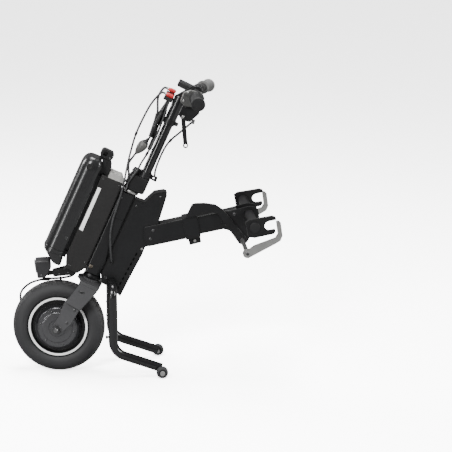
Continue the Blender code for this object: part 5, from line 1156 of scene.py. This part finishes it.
def make_riser():
    """Sleeve that slides on the column, with its collar, and the neck and clamp that hold the bar."""
    sleeve = [(13.0, SLEEVE_BOTTOM), (14.8, SLEEVE_BOTTOM), (15.2, SLEEVE_BOTTOM + 0.5),
              (15.2, SLEEVE_TOP - 0.6), (14.6, SLEEVE_TOP), (13.0, SLEEVE_TOP)]
    fit(turned("riser_sleeve", sleeve, 64, "Z"), RISER, TUBE_BLACK, "riser", smooth=30)
    foot = SLEEVE_BOTTOM + 3.0
    collar = turned("riser_collar", [(15.2, foot), (17.2, foot), (17.7, foot + 0.5),
                                     (17.7, foot + 11.5), (17.2, foot + 12.0), (15.2, foot + 12.0)],
                    64, "Z")
    fit(collar, RISER, FRAME_BLACK, "riser", smooth=30)
    lug = plate("riser_collar_lug", rounded([(16.0, foot + 1), (25.0, foot + 2), (25.0, foot + 10),
                                             (16.0, foot + 11)], [0.5, 3, 3, 0.5]), -7, 7)
    cut(lug, plate("slit", [(10, foot - 2), (30, foot - 2), (30, foot + 14), (10, foot + 14)],
                        -0.8, 0.8))
    fit(bevel(lug, 0.7, 3, 40), RISER, FRAME_BLACK, "riser")
    fasten(CAP_SCREW, "riser_lug_bolt", RISER, DARK_STEEL, "riser",
           [(21.0, -7.0, foot + 6)], LEFT, 0.7)
    bar_u = BAR_U - COLUMN_OFFSET
    neck = rounded([(-12.5, SLEEVE_TOP - 26), (-13.0, SLEEVE_TOP - 1), (bar_u - 14, BAR_S + 12),
                    (bar_u + 4, BAR_S + 10), (bar_u + 14, BAR_S - 9), (13.0, SLEEVE_TOP - 22)], 4.0)
    neck = plate("riser_neck", neck, -12, 12)
    cut(neck, rod("column_way", 13.0, SLEEVE_BOTTOM, COLUMN_TOP + 3, (0, 0), "Z", 48))
    fit(bevel(neck, 2.2, 4, 50), RISER, FRAME_BLACK, "riser", ("riser_stem",), 40)
    clamp = [(11.4, -21.0), (16.0, -21.0), (16.6, -20.4), (16.6, -8.6), (16.0, -8.0), (15.4, -7.6),
             (15.4, 7.6), (16.0, 8.0), (16.6, 8.6), (16.6, 20.4), (16.0, 21.0), (11.4, 21.0)]
    clamp = turned("riser_bar_clamp", clamp, 64)
    fit(clamp, RISER @ move(bar_u, 0, BAR_S), FRAME_BLACK, "riser", smooth=30)
    fasten(CAP_SCREW, "bar_clamp_bolt", RISER @ move(bar_u, 0, BAR_S), DARK_STEEL,
           "riser", [(6.0, y, 15.2) for y in (-14.5, 14.5)] + [(-8.0, y, 14.2) for y in (-14.5, 14.5)],
           UP, 0.7)


def grip_outline(ribs):
    """Outline of a grip from its bore, with a flange, ribs and a cap."""
    outline = [(0, 90.9), (11.4, 90.9), (11.4, 0), (17.4, 0), (18.2, 0.4), (18.5, 1.2), (18.5, 3.0),
               (18.0, 3.8), (16.6, 4.6), (15.7, 5.4)]
    pitch = 74.0 / ribs
    for i in range(ribs):
        start = 8.0 + i * pitch
        outline += [(13.6, start), (16.2, start + pitch * 0.16), (16.5, start + pitch * 0.36),
                    (16.2, start + pitch * 0.58), (13.6, start + pitch * 0.74)]
    outline += [(15.7, 82.6), (16.4, 83.4), (17.8, 84.2)]
    return outline


def make_bar():
    """Handlebar and its grips."""
    end = GRIP_START + (GRIP_LENGTH - 1.6) * math.cos(math.radians(BAR_SWEEP))
    corners = [(bar_at(end), -end, 0), (0, -BAR_BEND_AT, 0), (0, BAR_BEND_AT, 0), (bar_at(end), end, 0)]
    fit(tube("handlebar_tube", bent_route(corners, [90, 90], 12), BAR_RADIUS, 10), BAR, TUBE_BLACK,
        "bar", ("handlebar",), 40)

    cap = [(18.3, 84.6), (18.5, 85.2), (18.5, 90.2), (18.0, 91.2), (17.0, 92.2), (16.2, 92.8),
           (15.0, 92.8), (14.6, 92.2), (13.4, 92.2), (13.0, 92.8), (9.0, 93.1), (8.6, 92.5), (0, 92.5)]
    right = turned("grip_right_ribbed", [*grip_outline(8), *cap], 64)
    fit(right, RIGHT_SEAT, GRIP_GREY, "bar", ("grip_right",), 30)
    left = turned("throttle_grip_ribbed", [(r, -y) for r, y in
                                           [*grip_outline(8), (17.8, 84.6), (0, 84.6)]], 64)
    fit(left, LEFT_SEAT, GRIP_DARK, "throttle", ("throttle_grip",), 30)
    left_cap = turned("throttle_grip_cap", [(0, -84.7), (17.4, -84.7), *[(r, -y) for r, y in cap]], 64)
    fit(left_cap, LEFT_SEAT, GRIP_DARK, "throttle", smooth=30)


def make_throttle():
    """Two-part throttle housing beside the left grip, with its barrel."""
    outline = rounded([(-36.0, -26.0), (-18.0, -31.0), (12.0, -22.0), (20.0, -6.0), (20.0, 8.0),
                       (8.0, 20.0), (-24.0, 14.0), (-38.0, 2.0)], 6, 6)
    block = plate("throttle_housing", outline, GAP, THROTTLE_WIDTH)
    bevel(block, 2.6, 4, 50)
    seam = plate("seam", [(-50, -4.6), (50, -1.6), (50, -1.0), (-50, -4.0)], GAP - 5, THROTTLE_WIDTH + 5)
    cut(block, seam)
    fit(block, LEFT_SEAT, THROTTLE_SILVER, "bar", ("throttle_body",), 40)
    barrel = turned("throttle_barrel", [(11.4, 0.1), (18.4, 0.1), (19.0, 0.7), (19.0, 5.0),
                                        (18.2, 5.6), (11.4, 5.6)], 64)
    fit(barrel, LEFT_SEAT, PART_BLACK, "bar", smooth=30)
    fasten(SMALL_SCREW, "throttle_screw", LEFT_SEAT, STEEL, "bar",
           [(-29.0, GAP + 0.2, -19.0), (-27.5, GAP + 0.2, 6.0)], LEFT)


def make_brake_lever():
    """Brake lever in its perch, with the cable's adjuster."""
    perch = BAR @ move(bar_at(PERCH_MIDDLE), -PERCH_MIDDLE, 0)
    outline = rounded([(-23.0, -40.0), (-23.0, -62.0), (-8.0, -72.0), (13.0, -67.0), (26.0, -38.0),
                       (21.0, -20.0), (17.5, 0.0), (12.4, 12.4), (0.0, 17.5), (-12.4, 12.4),
                       (-17.5, 0.0), (-19.0, -18.0)], [4, 4, 5, 4, 4, 6, 8, 8, 8, 8, 8, 10], 4)
    body = bevel(plate("brake_perch_forged", outline, -8.5, 8.5), 2.0, 4, 50)
    cut(body, rod("bar_way", BAR_RADIUS + 0.2, -20, 20, (0, 0), "Y", 48))
    cut(body, rod("lever_way", 9.5, -4.2, 4.2, (-10.0, -62.0), "Y", 40))
    cut(body, plate("lever_slot", [(-22.0, -100.0), (18.0, -100.0), (18.0, -63.0), (-22.0, -63.0)],
                         -4.2, 4.2))
    cut(body, plate("pinch", [(-40, -1.0), (-8, -1.0), (-8, 0.2), (-40, 0.2)], -20, 20))
    fit(body, perch, PART_BLACK, "bar", ("brake_perch",), 40)
    fasten(CAP_SCREW, "perch_bolt", perch, STEEL, "bar", [(-10.0, -8.5, -62.0)], LEFT, 0.9)
    fasten(CAP_SCREW, "perch_clamp_bolt", perch, DARK_STEEL, "bar",
           [(-15.0, -8.5, -33.0)], LEFT, 0.8)
    adjuster = turned("cable_adjuster", [(0, 0), (4.6, 0), (4.6, 5.0), (4.1, 5.6), (3.4, 6.0),
                                         (3.4, 11.0), (2.9, 11.6), (0, 11.6)], 32, "Z")
    fit(adjuster, perch @ move(18.5, 0.4, -58.5) @ turn(158, "Y"), DARK_STEEL, "bar")

    reach = Vector((38.0, -68.0))
    along = reach.normalized()
    side = Vector((-along.y, along.x))
    length = reach.length

    def spot(a, b):
        return tuple(along * a + side * b)

    outline = [spot(-5.0, -4.5), spot(6.0, -5.2), spot(length * 0.4, -5.6), spot(length - 12.0, -5.4),
               spot(length - 6.0, -5.6)]
    outline += [spot(length + 7.0 * math.cos(a), 7.0 * math.sin(a))
                for a in [math.radians(-110 + 10 * i) for i in range(23)]]
    outline += [spot(length - 6.0, 5.6), spot(length - 12.0, 5.4), spot(length * 0.4, 5.6),
                spot(6.0, 5.2), spot(-5.0, 4.5)]
    lever = plate("brake_lever_forged", outline, -3.6, 3.6)
    cut(lever, rod("ring", 3.7, -10, 10, (reach.x, reach.y), "Y", 40))
    fit(bevel(lever, 1.1, 3, 35), LEVER, PART_BLACK, "lever", ("brake_lever",), 40)


def make_display():
    """Display on its arm and ring, with its glass and three keys."""
    screen = rounded([(-56.0, -12.0), (-13.0, -13.5), (-12.6, 1.0), (-56.0, 2.0)], [5, 3, 2.5, 2.5])
    body = bevel(plate("display_body", screen, 26, 84), 1.8, 3, 50)
    fit(body, BAR, MOULD_BLACK, "bar", ("display",), 40)
    tilt = turn(math.degrees(math.atan2(1.0, 42.0)), "Y")
    top = BAR @ move(-35.0, 55.0, 1.5) @ tilt
    glass = plate("display_glass", rounded([(-15.0, -23.0), (17.0, -23.0), (17.0, 23.0), (-15.0, 23.0)],
                                           3.0), -0.2, 0.7, "Z")
    fit(bevel(glass, 0.4, 2, 50), top, SCREEN, "bar")
    for i, y in enumerate((-12.0, 0.0, 12.0)):
        key = turned(f"display_key_{i + 1}", [(0, -0.4), (3.0, -0.4), (3.0, 0.6), (2.4, 1.1), (0, 1.2)],
                     32, "Z")
        fit(key, top @ move(-18.0, y, 0), BUTTON_BLACK, "bar")
    arm = rounded([(-22.0, -6.0), (0.0, -15.6), (4.0, 15.0), (-22.0, 2.0)], [0.5, 3, 3, 0.5])
    fit(bevel(plate("display_arm", arm, 28, 42), 1.2, 3, 50), BAR, MOULD_BLACK, "bar")
    ring = turned("display_ring", [(11.4, 28.0), (15.6, 28.0), (16.1, 28.5), (16.1, 41.5),
                                   (15.6, 42.0), (11.4, 42.0)], 64)
    fit(ring, BAR, MOULD_BLACK, "bar", smooth=30)


# Beam and dock

def make_beam():
    """Docking beam with its collar, the dock's frame and tube plugs, the hooks and their lever."""
    eased("beam_outer", "main", FRAME_BLACK, 0.7)
    eased("beam_collar", "main", FRAME_BLACK, 0.8)
    fasten(CAP_SCREW, "collar_screw", BEAM, STEEL, "main", [(76.0, -11.0, -40.5)], LEFT, 0.9)
    screw = rod("collar_screw_shank", 3.1, -11, 11, (76.0, -40.5))
    fit(screw, BEAM, STEEL, "main", smooth=40)
    for side, label in SIDES:
        fasten(FLAT_SCREW, f"beam_bolt_{label}", BEAM, DARK_STEEL, "main",
               [(-42.0, side * 20.0, -8.0), (-30.0, side * 20.0, 14.0)], (0, side, 0))
    eased("beam_inner", "dock", FRAME_BLACK, 0.7)
    eased("dock_frame", "dock", FRAME_BLACK, 0.6)
    eased("latch_hooks", "latch", STEEL, 0.6)
    eased("release_lever", "latch", PART_BLACK, 0.7, 3)
    for side, label in SIDES:
        fasten(FLAT_SCREW, f"dock_bolt_{label}", BEAM, DARK_STEEL, "dock",
               [(170.0, side * 21.5, 8.0), (170.0, side * 21.5, -12.0), (196.0, side * 21.5, 12.0)],
               (0, side, 0))
        fasten(SMALL_SCREW, f"hook_cap_{label}", LATCH, DARK_STEEL, "latch",
               [(0, side * 175.0, 0)], (0, side, 0), 1.5)
        plug = turned(f"dock_tube_plug_{label}", [(0, 0), (11.0, 0), (11.0, 1.0), (13.4, 1.0),
                                                  (13.6, 1.4), (13.4, 2.2), (12.0, 3.0), (0, 3.0)],
                      48, "Z")
        fit(plug, BEAM @ move(236.0, side * 165.5, 2.0) @ outward(side), MOULD_BLACK, "dock")


# Stand

def make_stand():
    """Bent stand tube with its buffers, and the rollers on their pins."""
    knee = 70.0 - STAND_Z
    end = (ROLLER_X - 2.0 - STAND_X, 22.0 - STAND_Z)
    corners = [(end[0], -STAND_HALF, end[1]), (0, -STAND_HALF, knee), (0, -STAND_HALF, 0),
               (0, STAND_HALF, 0), (0, STAND_HALF, knee), (end[0], STAND_HALF, end[1])]
    route = bent_route(corners, [46, 28, 28, 46], 16)
    fit(tube("stand_tube_bent", route, STAND_TUBE, 12), STAND, TUBE_BLACK, "stand", ("stand_tube",), 40)
    roller_x, roller_z = ROLLER_X - STAND_X, ROLLER_Z - STAND_Z
    middle = STAND_HALF + STAND_TUBE + GAP + ROLLER_WIDTH / 2
    half = ROLLER_WIDTH / 2
    for side, label in SIDES:
        pin = turned(f"roller_pin_{label}", [(0, 0), (4.0, 0), (4.0, 33.0), (6.4, 33.0), (7.0, 33.6),
                                             (7.0, 35.6), (6.0, 36.8), (0, 37.0)], 40, "Z")
        fit(pin, STAND @ move(roller_x, side * STAND_HALF, roller_z) @ outward(side), STEEL, "stand")
        wheel = turned(f"roller_tyre_{label}", [
            (9.6, -half + 0.6), (11.0, -half), (13.2, -half + 0.9), (14.6, -half + 1.8),
            (15.7, -half + 3.4), (16.0, -half + 5.0), (16.0, half - 5.0), (15.7, half - 3.4),
            (14.6, half - 1.8), (13.2, half - 0.9), (11.0, half), (9.6, half - 0.6)], 64)
        fit(wheel, STAND @ move(roller_x, side * middle, roller_z), ROLLER_BLACK,
            f"{label}_roller", (f"roller_{label}",), 30)
        hub = turned(f"roller_hub_{label}", [
            (4.35, -half), (6.6, -half), (6.9, -half + 0.6), (8.0, -half + 1.4), (9.8, -half + 1.4),
            (9.8, half - 1.4), (8.0, half - 1.4), (6.9, half - 0.6), (6.6, half), (4.35, half)], 48)
        fit(hub, STAND @ move(roller_x, side * middle, roller_z), MOULD_BLACK, f"{label}_roller",
            smooth=30)
    for i, (z, radius, reach) in enumerate(((-36.0, 3.0, 6.0), (-74.0, 3.0, 6.0), (-137.0, 4.6, 8.0))):
        stud = turned(f"stand_buffer_{i + 1}", [
            (0, -1.0), (radius * 0.6, -1.0), (radius * 0.6, reach * 0.3), (radius, reach * 0.4),
            (radius, reach * 0.8), (radius * 0.7, reach), (0, reach)], 32, "Z")
        fit(stud, STAND @ move(-STAND_TUBE, -STAND_HALF, z) @ turn(-90, "Y"), BUTTON_BLACK, "stand")


# Plugs and cables

def plug_profile(length, radius):
    """Outline of a screwed plug with a ribbed sleeve, from its cable end."""
    outline = [(0, 0), (radius * 0.6, 0), (radius * 0.66, 0.5), (radius * 0.8, length * 0.16),
               (radius * 0.84, length * 0.28)]
    for i in range(5):
        start = length * (0.32 + 0.1 * i)
        outline += [(radius, start), (radius, start + length * 0.06), (radius * 0.92, start + length * 0.07),
                    (radius * 0.92, start + length * 0.095)]
    outline += [(radius * 0.9, length * 0.86), (radius * 0.75, length * 0.92), (radius * 0.75, length),
                (0, length)]
    return outline


def make_plugs():
    """Clip on the riser, and the two red plugs on it with their collars."""
    front = -SLEEVE_RADIUS - GAP
    low = SLEEVE_TOP - 23.0
    high = low + 9.0
    clip = plate("cable_clip_moulding", rounded([(front - 25, low), (front, low), (front, high),
                                                 (front - 25, high)], 2.0), -17, 19)
    fit(bevel(clip, 0.8, 3, 50), RISER, MOULD_BLACK, "riser", ("cable_clip",), 40)
    step = plate("cable_clip_step", rounded([(front - 25, high - 1), (front - 1, high - 1),
                                             (front - 1, high + 12), (front - 25, high + 12)], 1.5), 4, 19)
    fit(bevel(step, 0.8, 3, 50), RISER, MOULD_BLACK, "riser")
    for label, y, s in (("near", -9.0, high + 6.3), ("far", 11.5, high + 18.3)):
        plug = turned(f"red_plug_sleeve_{label}", plug_profile(22.5, 6.0), 40, "Z")
        fit(plug, RISER @ move(front - 24.0, y, s) @ turn(90, "Y"), RED_PLUG, "riser",
            (f"red_plug_{label}",), 30)
        collar = turned(f"red_plug_collar_{label}", [(2.5, -1.5), (4.4, -1.5), (4.8, -0.8), (4.8, 1.0),
                                                     (2.5, 1.0)], 32, "Z")
        fit(collar, RISER @ move(front - 24.0, y, s) @ turn(90, "Y"), STEEL, "riser")


def jacket(name, route, radius, stretches, node):
    """Cable jacket in stretches, with a ferrule where two meet.

    Each stretch is (last knot, body before, body after, knots between which it bends); the body after and
    those knots are not used.
    """
    points = fine_route(route)
    places = [min(range(len(points)), key=lambda i, knot=knot: (points[i] - Vector(knot)).length)
              for knot in route]
    first = 0
    for i, (last, before, after, start, end) in enumerate(stretches):
        run = points[places[first]:places[last] + 1]
        piece = fit(tube(f"{name}_jacket_{i + 1}", run, radius), LEANED, CABLE_BLACK, smooth=60)
        if i == 0:
            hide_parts(node)
        else:
            here = points[places[first]]
            ahead = (points[places[first] + 1] - here).normalized()
            ferrule = turned(f"{name}_ferrule_{i}", [
                (radius * 0.5, -5.0), (radius + 0.5, -5.0), (radius + 0.9, -4.5), (radius + 0.9, 4.5),
                (radius + 0.5, 5.0), (radius * 0.5, 5.0)], 32, "Z")
            fit(ferrule, LEANED @ between(here, here + ahead), MOULD_BLACK, before, smooth=30)
        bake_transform(piece)
        first = last


def make_bundle():
    """Black in-line plugs under the clip with their leads and tails, held by a sleeve and a strap."""
    front = -SLEEVE_RADIUS
    # Place along and across, top, foot and radius of each plug
    plugs = ((-32.0, -4.0, 678.0, 634.0, 5.2), (-31.0, -12.0, 662.0, 620.0, 4.6),
             (-22.5, 4.5, 668.0, 626.0, 5.8), (-27.5, 9.5, 690.0, 650.0, 5.2),
             (-33.0, 7.0, 650.0, 606.0, 4.8), (-24.5, 4.0, 621.0, 588.0, 4.4))
    for i, (u, y, high, low, radius) in enumerate(plugs):
        plug = turned(f"inline_plug_{i + 1}", plug_profile(high - low, radius), 32, "Z")
        lean = 4.0 - 1.5 * i
        fit(plug, RISER @ move(u, y, low) @ turn(lean, "Y"), MOULD_BLACK, "riser")
        top = (u + math.sin(math.radians(lean)) * (high - low), y, high)
        route = [top, (top[0] - 1.0, y, high + 5.0), (front - 12.0, 5.0 + y * 0.4, 697.0),
                 (front - 12.0, 5.0 + y * 0.4, 702.0)]
        fit(tube(f"inline_lead_{i + 1}", fine_route(route, 1.5), 2.2), RISER, CABLE_BLACK,
            "riser", smooth=60)
        route = [(u, y, low), (u - 0.4, y, low - 4.0), (front - 7.5, 0.4 * y + 5.0, 0.4 * low + 351.0),
                 (front - 4.6, 8.0, 580.0), (front - 4.6, 8.0, 572.0 - 1.0 * i)]
        fit(tube(f"inline_tail_{i + 1}", fine_route(route, 2.0), 2.2), RISER, CABLE_BLACK,
            "riser", smooth=60)
    sleeve = [(0, 548.0), (4.4, 548.0), (5.4, 550.0), (5.8, 552.0), (5.8, 578.0), (4.6, 583.0),
              (0, 583.0)]
    fit(turned("tail_sleeve", sleeve, 32, "Z"), RISER @ move(front - 4.6, 8.0, 0), MOULD_BLACK,
        "riser", smooth=30)
    strap = turned("bundle_strap", [(15.3, 645.0), (16.2, 645.0), (16.2, 650.0), (15.3, 650.0)], 64, "Z")
    fit(strap, RISER, MOULD_BLACK, "riser", smooth=30)


# What the cables hang on: the riser's front, the tips of the red plugs, and the junction's two ends
COLUMN_FRONT = COLUMN_OFFSET - SLEEVE_RADIUS
PLUG_TIP = COLUMN_FRONT - 24.0 - 2 * GAP
JUNCTION_LOW = Vector(steered(-27.0, -8.0, 527.4))
JUNCTION_HIGH = Vector(steered(-13.0, -7.0, 574.6))
JUNCTION_AIM = (JUNCTION_HIGH - JUNCTION_LOW).normalized()


def make_brake_cable():
    """Cable from the near red plug down the side of the frame."""
    tip = PLUG_TIP
    route = [steered(tip, -9.0, 709.3), steered(tip - 5.0, -9.0, 709.3),
             steered(tip - 12.0, -9.0, 706.0), steered(-41.0, -9.5, 680.0),
             steered(-46.5, -10.0, 645.0), steered(-48.0, -12.0, 578.0), steered(-40.0, -19.0, 520.0),
             steered(-31.5, -28.0, 480.0), (-3.0, -33.8, 452.0), (2.0, -34.0, 425.0),
             (7.0, -33.8, 385.0), (11.0, -33.6, 345.0), (20.0, -33.6, 305.0), (34.0, -33.0, 272.0),
             (48.0, -29.5, 244.0), (57.0, -24.0, 228.0), (58.5, -19.0, 226.0), (58.5, -13.5, 226.0)]
    jacket("brake_cable", route, THIN_CABLE,
           ((5, "riser", "fork", 2, 4), (17, "fork", "main", 6, 8)), "brake_cable")


def make_power_cable_lower():
    """Cable from the junction to the cap of the case."""
    route = [JUNCTION_LOW - JUNCTION_AIM * 0.4, JUNCTION_LOW - JUNCTION_AIM * 9.0,
             steered(-33.0, -16.0, 495.0), (2.0, -20.5, 471.0), (5.0, -21.0, 458.0),
             (3.0, -21.0, CASE_TOP + 9.5), (0.5, -21.0, CASE_TOP + 8.0), (-4.0, -21.0, CASE_TOP + 8.0)]
    jacket("power_cable_lower", route, THICK_CABLE, ((7, "fork", "main", 1, 4),), "power_cable_lower")


def make_column_cable():
    """Cable from the clip down beside the column and the stem block to the frame."""
    beside = -22.5
    route = [steered(COLUMN_FRONT - 8.0, -9.0, 693.7), steered(COLUMN_FRONT - 7.0, -9.5, 675.0),
             steered(2.0, -10.0, 640.0), steered(4.5, -12.0, 590.0), steered(1.0, -15.5, 540.0),
             steered(-3.0, -19.5, 510.0), steered(-4.0, beside, 492.0), steered(-9.0, beside, 470.0),
             steered(-13.5, beside, 448.0), (10.5, -26.5, 431.0), (9.0, -31.0, 424.0)]
    jacket("column_cable", route, THIN_CABLE,
           ((4, "riser", "fork", 1, 3), (10, "fork", "main", 8, 10)), "column_cable")


def make_motor_cable():
    """Cable from the lamp bracket over the tyre to the axle, with its plug and its tie."""
    route = []
    for x, y, rise in ((46.0, 0.0, 150.6), (44.0, 0.0, 145.5), (36.0, 0.0, 140.0), (20.0, 0.0, 136.8),
                       (4.0, 0.0, 135.0), (-20.0, 1.0, 133.8), (-46.0, 4.0, 130.5),
                       (-76.0, 12.0, 119.0), (-99.0, 26.0, 95.0)):
        t, s = to_leaned(x, AXLE_Z + rise)
        route.append((t, y, s))
    tip = LEG_OUTER + 6.5 + 2 * GAP
    for u, y, s in ((-155.0, 34.0, 14.0), (-138.0, 41.0, -8.0), (-112.0, 52.0, -17.0),
                    (-86.0, 66.0, -17.0), (-64.0, tip + 8.0, -12.0), (-48.0, tip + 16.0, -6.0),
                    (-37.0, tip + 16.0, -2.0), (-29.5, tip + 12.0, 0.0), (-27.0, tip + 6.0, 0.0),
                    (-27.0, tip, 0.0)):
        route.append(steered(u, y, s))
    jacket("motor_cable", route, THICK_CABLE, ((18, "main", "fork", 4, 9),), "motor_cable")
    plug = turned("motor_plug", plug_profile(25.0, 4.8), 32, "Z")
    fit(plug, LEVEL @ between((-45.0, 3.9, AXLE_Z + 130.7), (-20.5, 1.0, AXLE_Z + 133.8)),
        MOULD_BLACK, smooth=30)
    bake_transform(plug)
    tie = turned("motor_cable_tie", [(3.2, -2.2), (4.0, -2.2), (4.3, -1.8), (4.3, 1.8), (4.0, 2.2),
                                     (3.2, 2.2)], 32, "Z")
    seat = LEVEL @ between((7.0, 0.0, AXLE_Z + 135.3), (20.0, 0.0, AXLE_Z + 136.8))
    fit(tie, seat, MOULD_BLACK, "main", smooth=30)
    lock = rounded([(-3.0, 3.8), (3.0, 3.8), (3.0, 8.4), (1.2, 8.4), (0.6, 11.5), (-0.8, 11.5),
                    (-1.2, 8.4), (-3.0, 8.4)], 0.4, 2)
    fit(bevel(plate("motor_cable_tie_lock", lock, -2.6, 2.6), 0.3, 2, 50), seat @ turn(90, "Y"),
        MOULD_BLACK, "main")


def make_power_cable_upper():
    """Cable from the far red plug to the junction, in its sleeve."""
    tip = PLUG_TIP
    route = [steered(tip, 11.5, 721.3), steered(tip - 5.0, 11.5, 721.3), steered(tip - 12.0, 9.5, 717.0),
             steered(-34.0, 0.0, 690.0), steered(-18.0, -6.0, 650.0), steered(-12.0, -7.0, 605.0),
             JUNCTION_HIGH + JUNCTION_AIM * 9.0, JUNCTION_HIGH + JUNCTION_AIM * 0.4]
    jacket("power_cable_upper", route, THICK_CABLE, ((7, "riser", "fork", 2, 4),), "power_cable_upper")
    sleeve = tube("power_cable_sleeve", [p for p in fine_route(route) if 584.0 < p.z < 652.0], 5.0, 8)
    fit(bevel(sleeve, 1.2, 3, 60), LEANED, MOULD_BLACK, "fork", smooth=50)


def make_lever_cable():
    """Cable from the lever's perch to the tab of the column clamp."""
    outer = BAR_U + LEVER_PIVOT[0] + 28.87
    route = [steered(outer, 0.5 - PERCH_MIDDLE, BAR_S - 64.0),
             steered(outer - 3.0, 4.5 - PERCH_MIDDLE, BAR_S - 71.0),
             steered(outer - 6.5, 14.0 - PERCH_MIDDLE, BAR_S - 80.0), steered(60.0, -60.0, 640.0),
             steered(44.0, -18.0, 600.0), steered(38.0, -4.0, 570.0), steered(37.5, 0.0, 530.0),
             steered(40.0, 0.0, 505.0), steered(44.0, 0.0, BLOCK_TOP + 16.1)]
    jacket("lever_cable", route, THIN_CABLE,
           ((4, "bar", "riser", 1, 3), (8, "riser", "fork", 5, 7)), "lever_cable")


def make_junction():
    """Junction of the power cables, with its grommet."""
    length = (JUNCTION_HIGH - JUNCTION_LOW).length
    shell = turned("junction_shell", [
        (0, 0), (3.6, 0), (4.6, 1.2), (9.2, length * 0.2), (12.0, length * 0.36), (13.1, length * 0.47),
        (13.1, length * 0.49), (12.7, length * 0.5), (12.7, length * 0.52), (13.4, length * 0.53),
        (13.5, length * 0.62), (12.0, length * 0.72), (10.4, length * 0.78), (0, length * 0.78)], 48, "Z")
    fit(shell, LEANED @ between(JUNCTION_LOW, JUNCTION_HIGH), JUNCTION_GREY, "fork", ("cable_junction",))
    grommet = turned("junction_grommet", [
        (0, length * 0.78), (10.2, length * 0.78), (9.6, length * 0.82), (6.4, length * 0.88),
        (6.4, length * 0.9), (5.2, length * 0.91), (5.2, length * 0.94), (4.6, length * 0.95),
        (4.4, length * 1.05), (0, length * 1.05)], 48, "Z")
    fit(grommet, LEANED @ between(JUNCTION_LOW, JUNCTION_HIGH), MOULD_BLACK, "fork", smooth=30)


make_tyre()
make_rim()
make_motor()
make_disc()
make_axle()
make_fork()
make_head()
make_gusset()
make_case()
make_battery()
make_latch()
make_lamp()
make_lamp_bracket()
make_stem()
make_column()
make_riser()
make_bar()
make_throttle()
make_brake_lever()
make_display()
make_beam()
make_stand()
make_plugs()
make_bundle()
make_brake_cable()
make_power_cable_lower()
make_column_cable()
make_motor_cable()
make_power_cable_upper()
make_lever_cable()
make_junction()

discard(*STOCK)


# Studio

def make_studio():
    """Pale paper floor, white to the camera, and soft lights."""
    unselect()
    bpy.ops.mesh.primitive_plane_add(size=80.0, location=(0, 0, 0))
    floor = bpy.context.object
    floor.name = "studio_floor"
    finish = Finish("studio_floor_paper")
    paper = finish.noise(finish.coordinates(), 3.0, 2.0)
    finish.done(finish.mix(paper, (0.24, 0.24, 0.24), (0.26, 0.26, 0.26)), 0.9)
    glow = finish.node("ShaderNodeEmission", None, {"Color": (1.0, 1.0, 1.0), "Strength": 2.6})
    white = finish.node("ShaderNodeBsdfDiffuse", None, {"Color": (2.8, 2.8, 2.8)})
    seen = finish.node("ShaderNodeLightPath", output="Is Camera Ray")
    lit = finish.node("ShaderNodeAddShader", None, {0: white, 1: glow})
    shown = finish.node("ShaderNodeMixShader", None, {
        0: seen, 1: Value(finish, finish.shader.outputs[0]), 2: lit})
    finish.put(finish.tree.nodes["Material Output"].inputs["Surface"], shown)
    floor.data.materials.append(finish.material)

    world = bpy.data.worlds.new("studio_world")
    bpy.context.scene.world = world
    world.use_nodes = True
    sky = world.node_tree.nodes["Background"]
    sky.inputs["Color"].default_value = (1.0, 1.0, 1.0, 1.0)
    sky.inputs["Strength"].default_value = 0.22

    for name, at, width, height, power in (
            ("key_light", (-1.3, -2.6, 2.7), 0.9, 0.9, 150.0),
            ("strip_light", (-2.6, -2.4, 1.0), 0.25, 1.8, 60.0),
            ("side_light", (2.6, -1.5, 1.4), 0.4, 1.4, 80.0),
            ("top_light", (0.1, 0.3, 2.8), 1.3, 1.3, 110.0),
            ("rear_light", (-2.2, 1.6, 1.6), 1.0, 1.0, 60.0)):
        data = bpy.data.lights.new(name, "AREA")
        data.shape = "RECTANGLE"
        data.size = width
        data.size_y = height
        data.energy = power
        light = bpy.data.objects.new(name, data)
        bpy.context.collection.objects.link(light)
        light.location = at
        light.rotation_euler = (Vector(at) - Vector((0, 0, 0.4))).to_track_quat("Z", "Y").to_euler()


def make_camera():
    """Camera at the photograph's viewing angle."""
    data = bpy.data.cameras.new("photo_camera")
    data.sensor_width = 36.0
    data.lens = 157.9
    data.clip_end = 60.0
    camera = bpy.data.objects.new("photo_camera", data)
    bpy.context.collection.objects.link(camera)
    place, target = Vector((-0.2569, -5.2336, 1.7456)), Vector((0.2285, 0.00957, 0.398))
    camera.location = place
    camera.rotation_euler = (place - target).to_track_quat("Z", "Y").to_euler()
    bpy.context.scene.camera = camera


make_studio()
make_camera()

unselect()
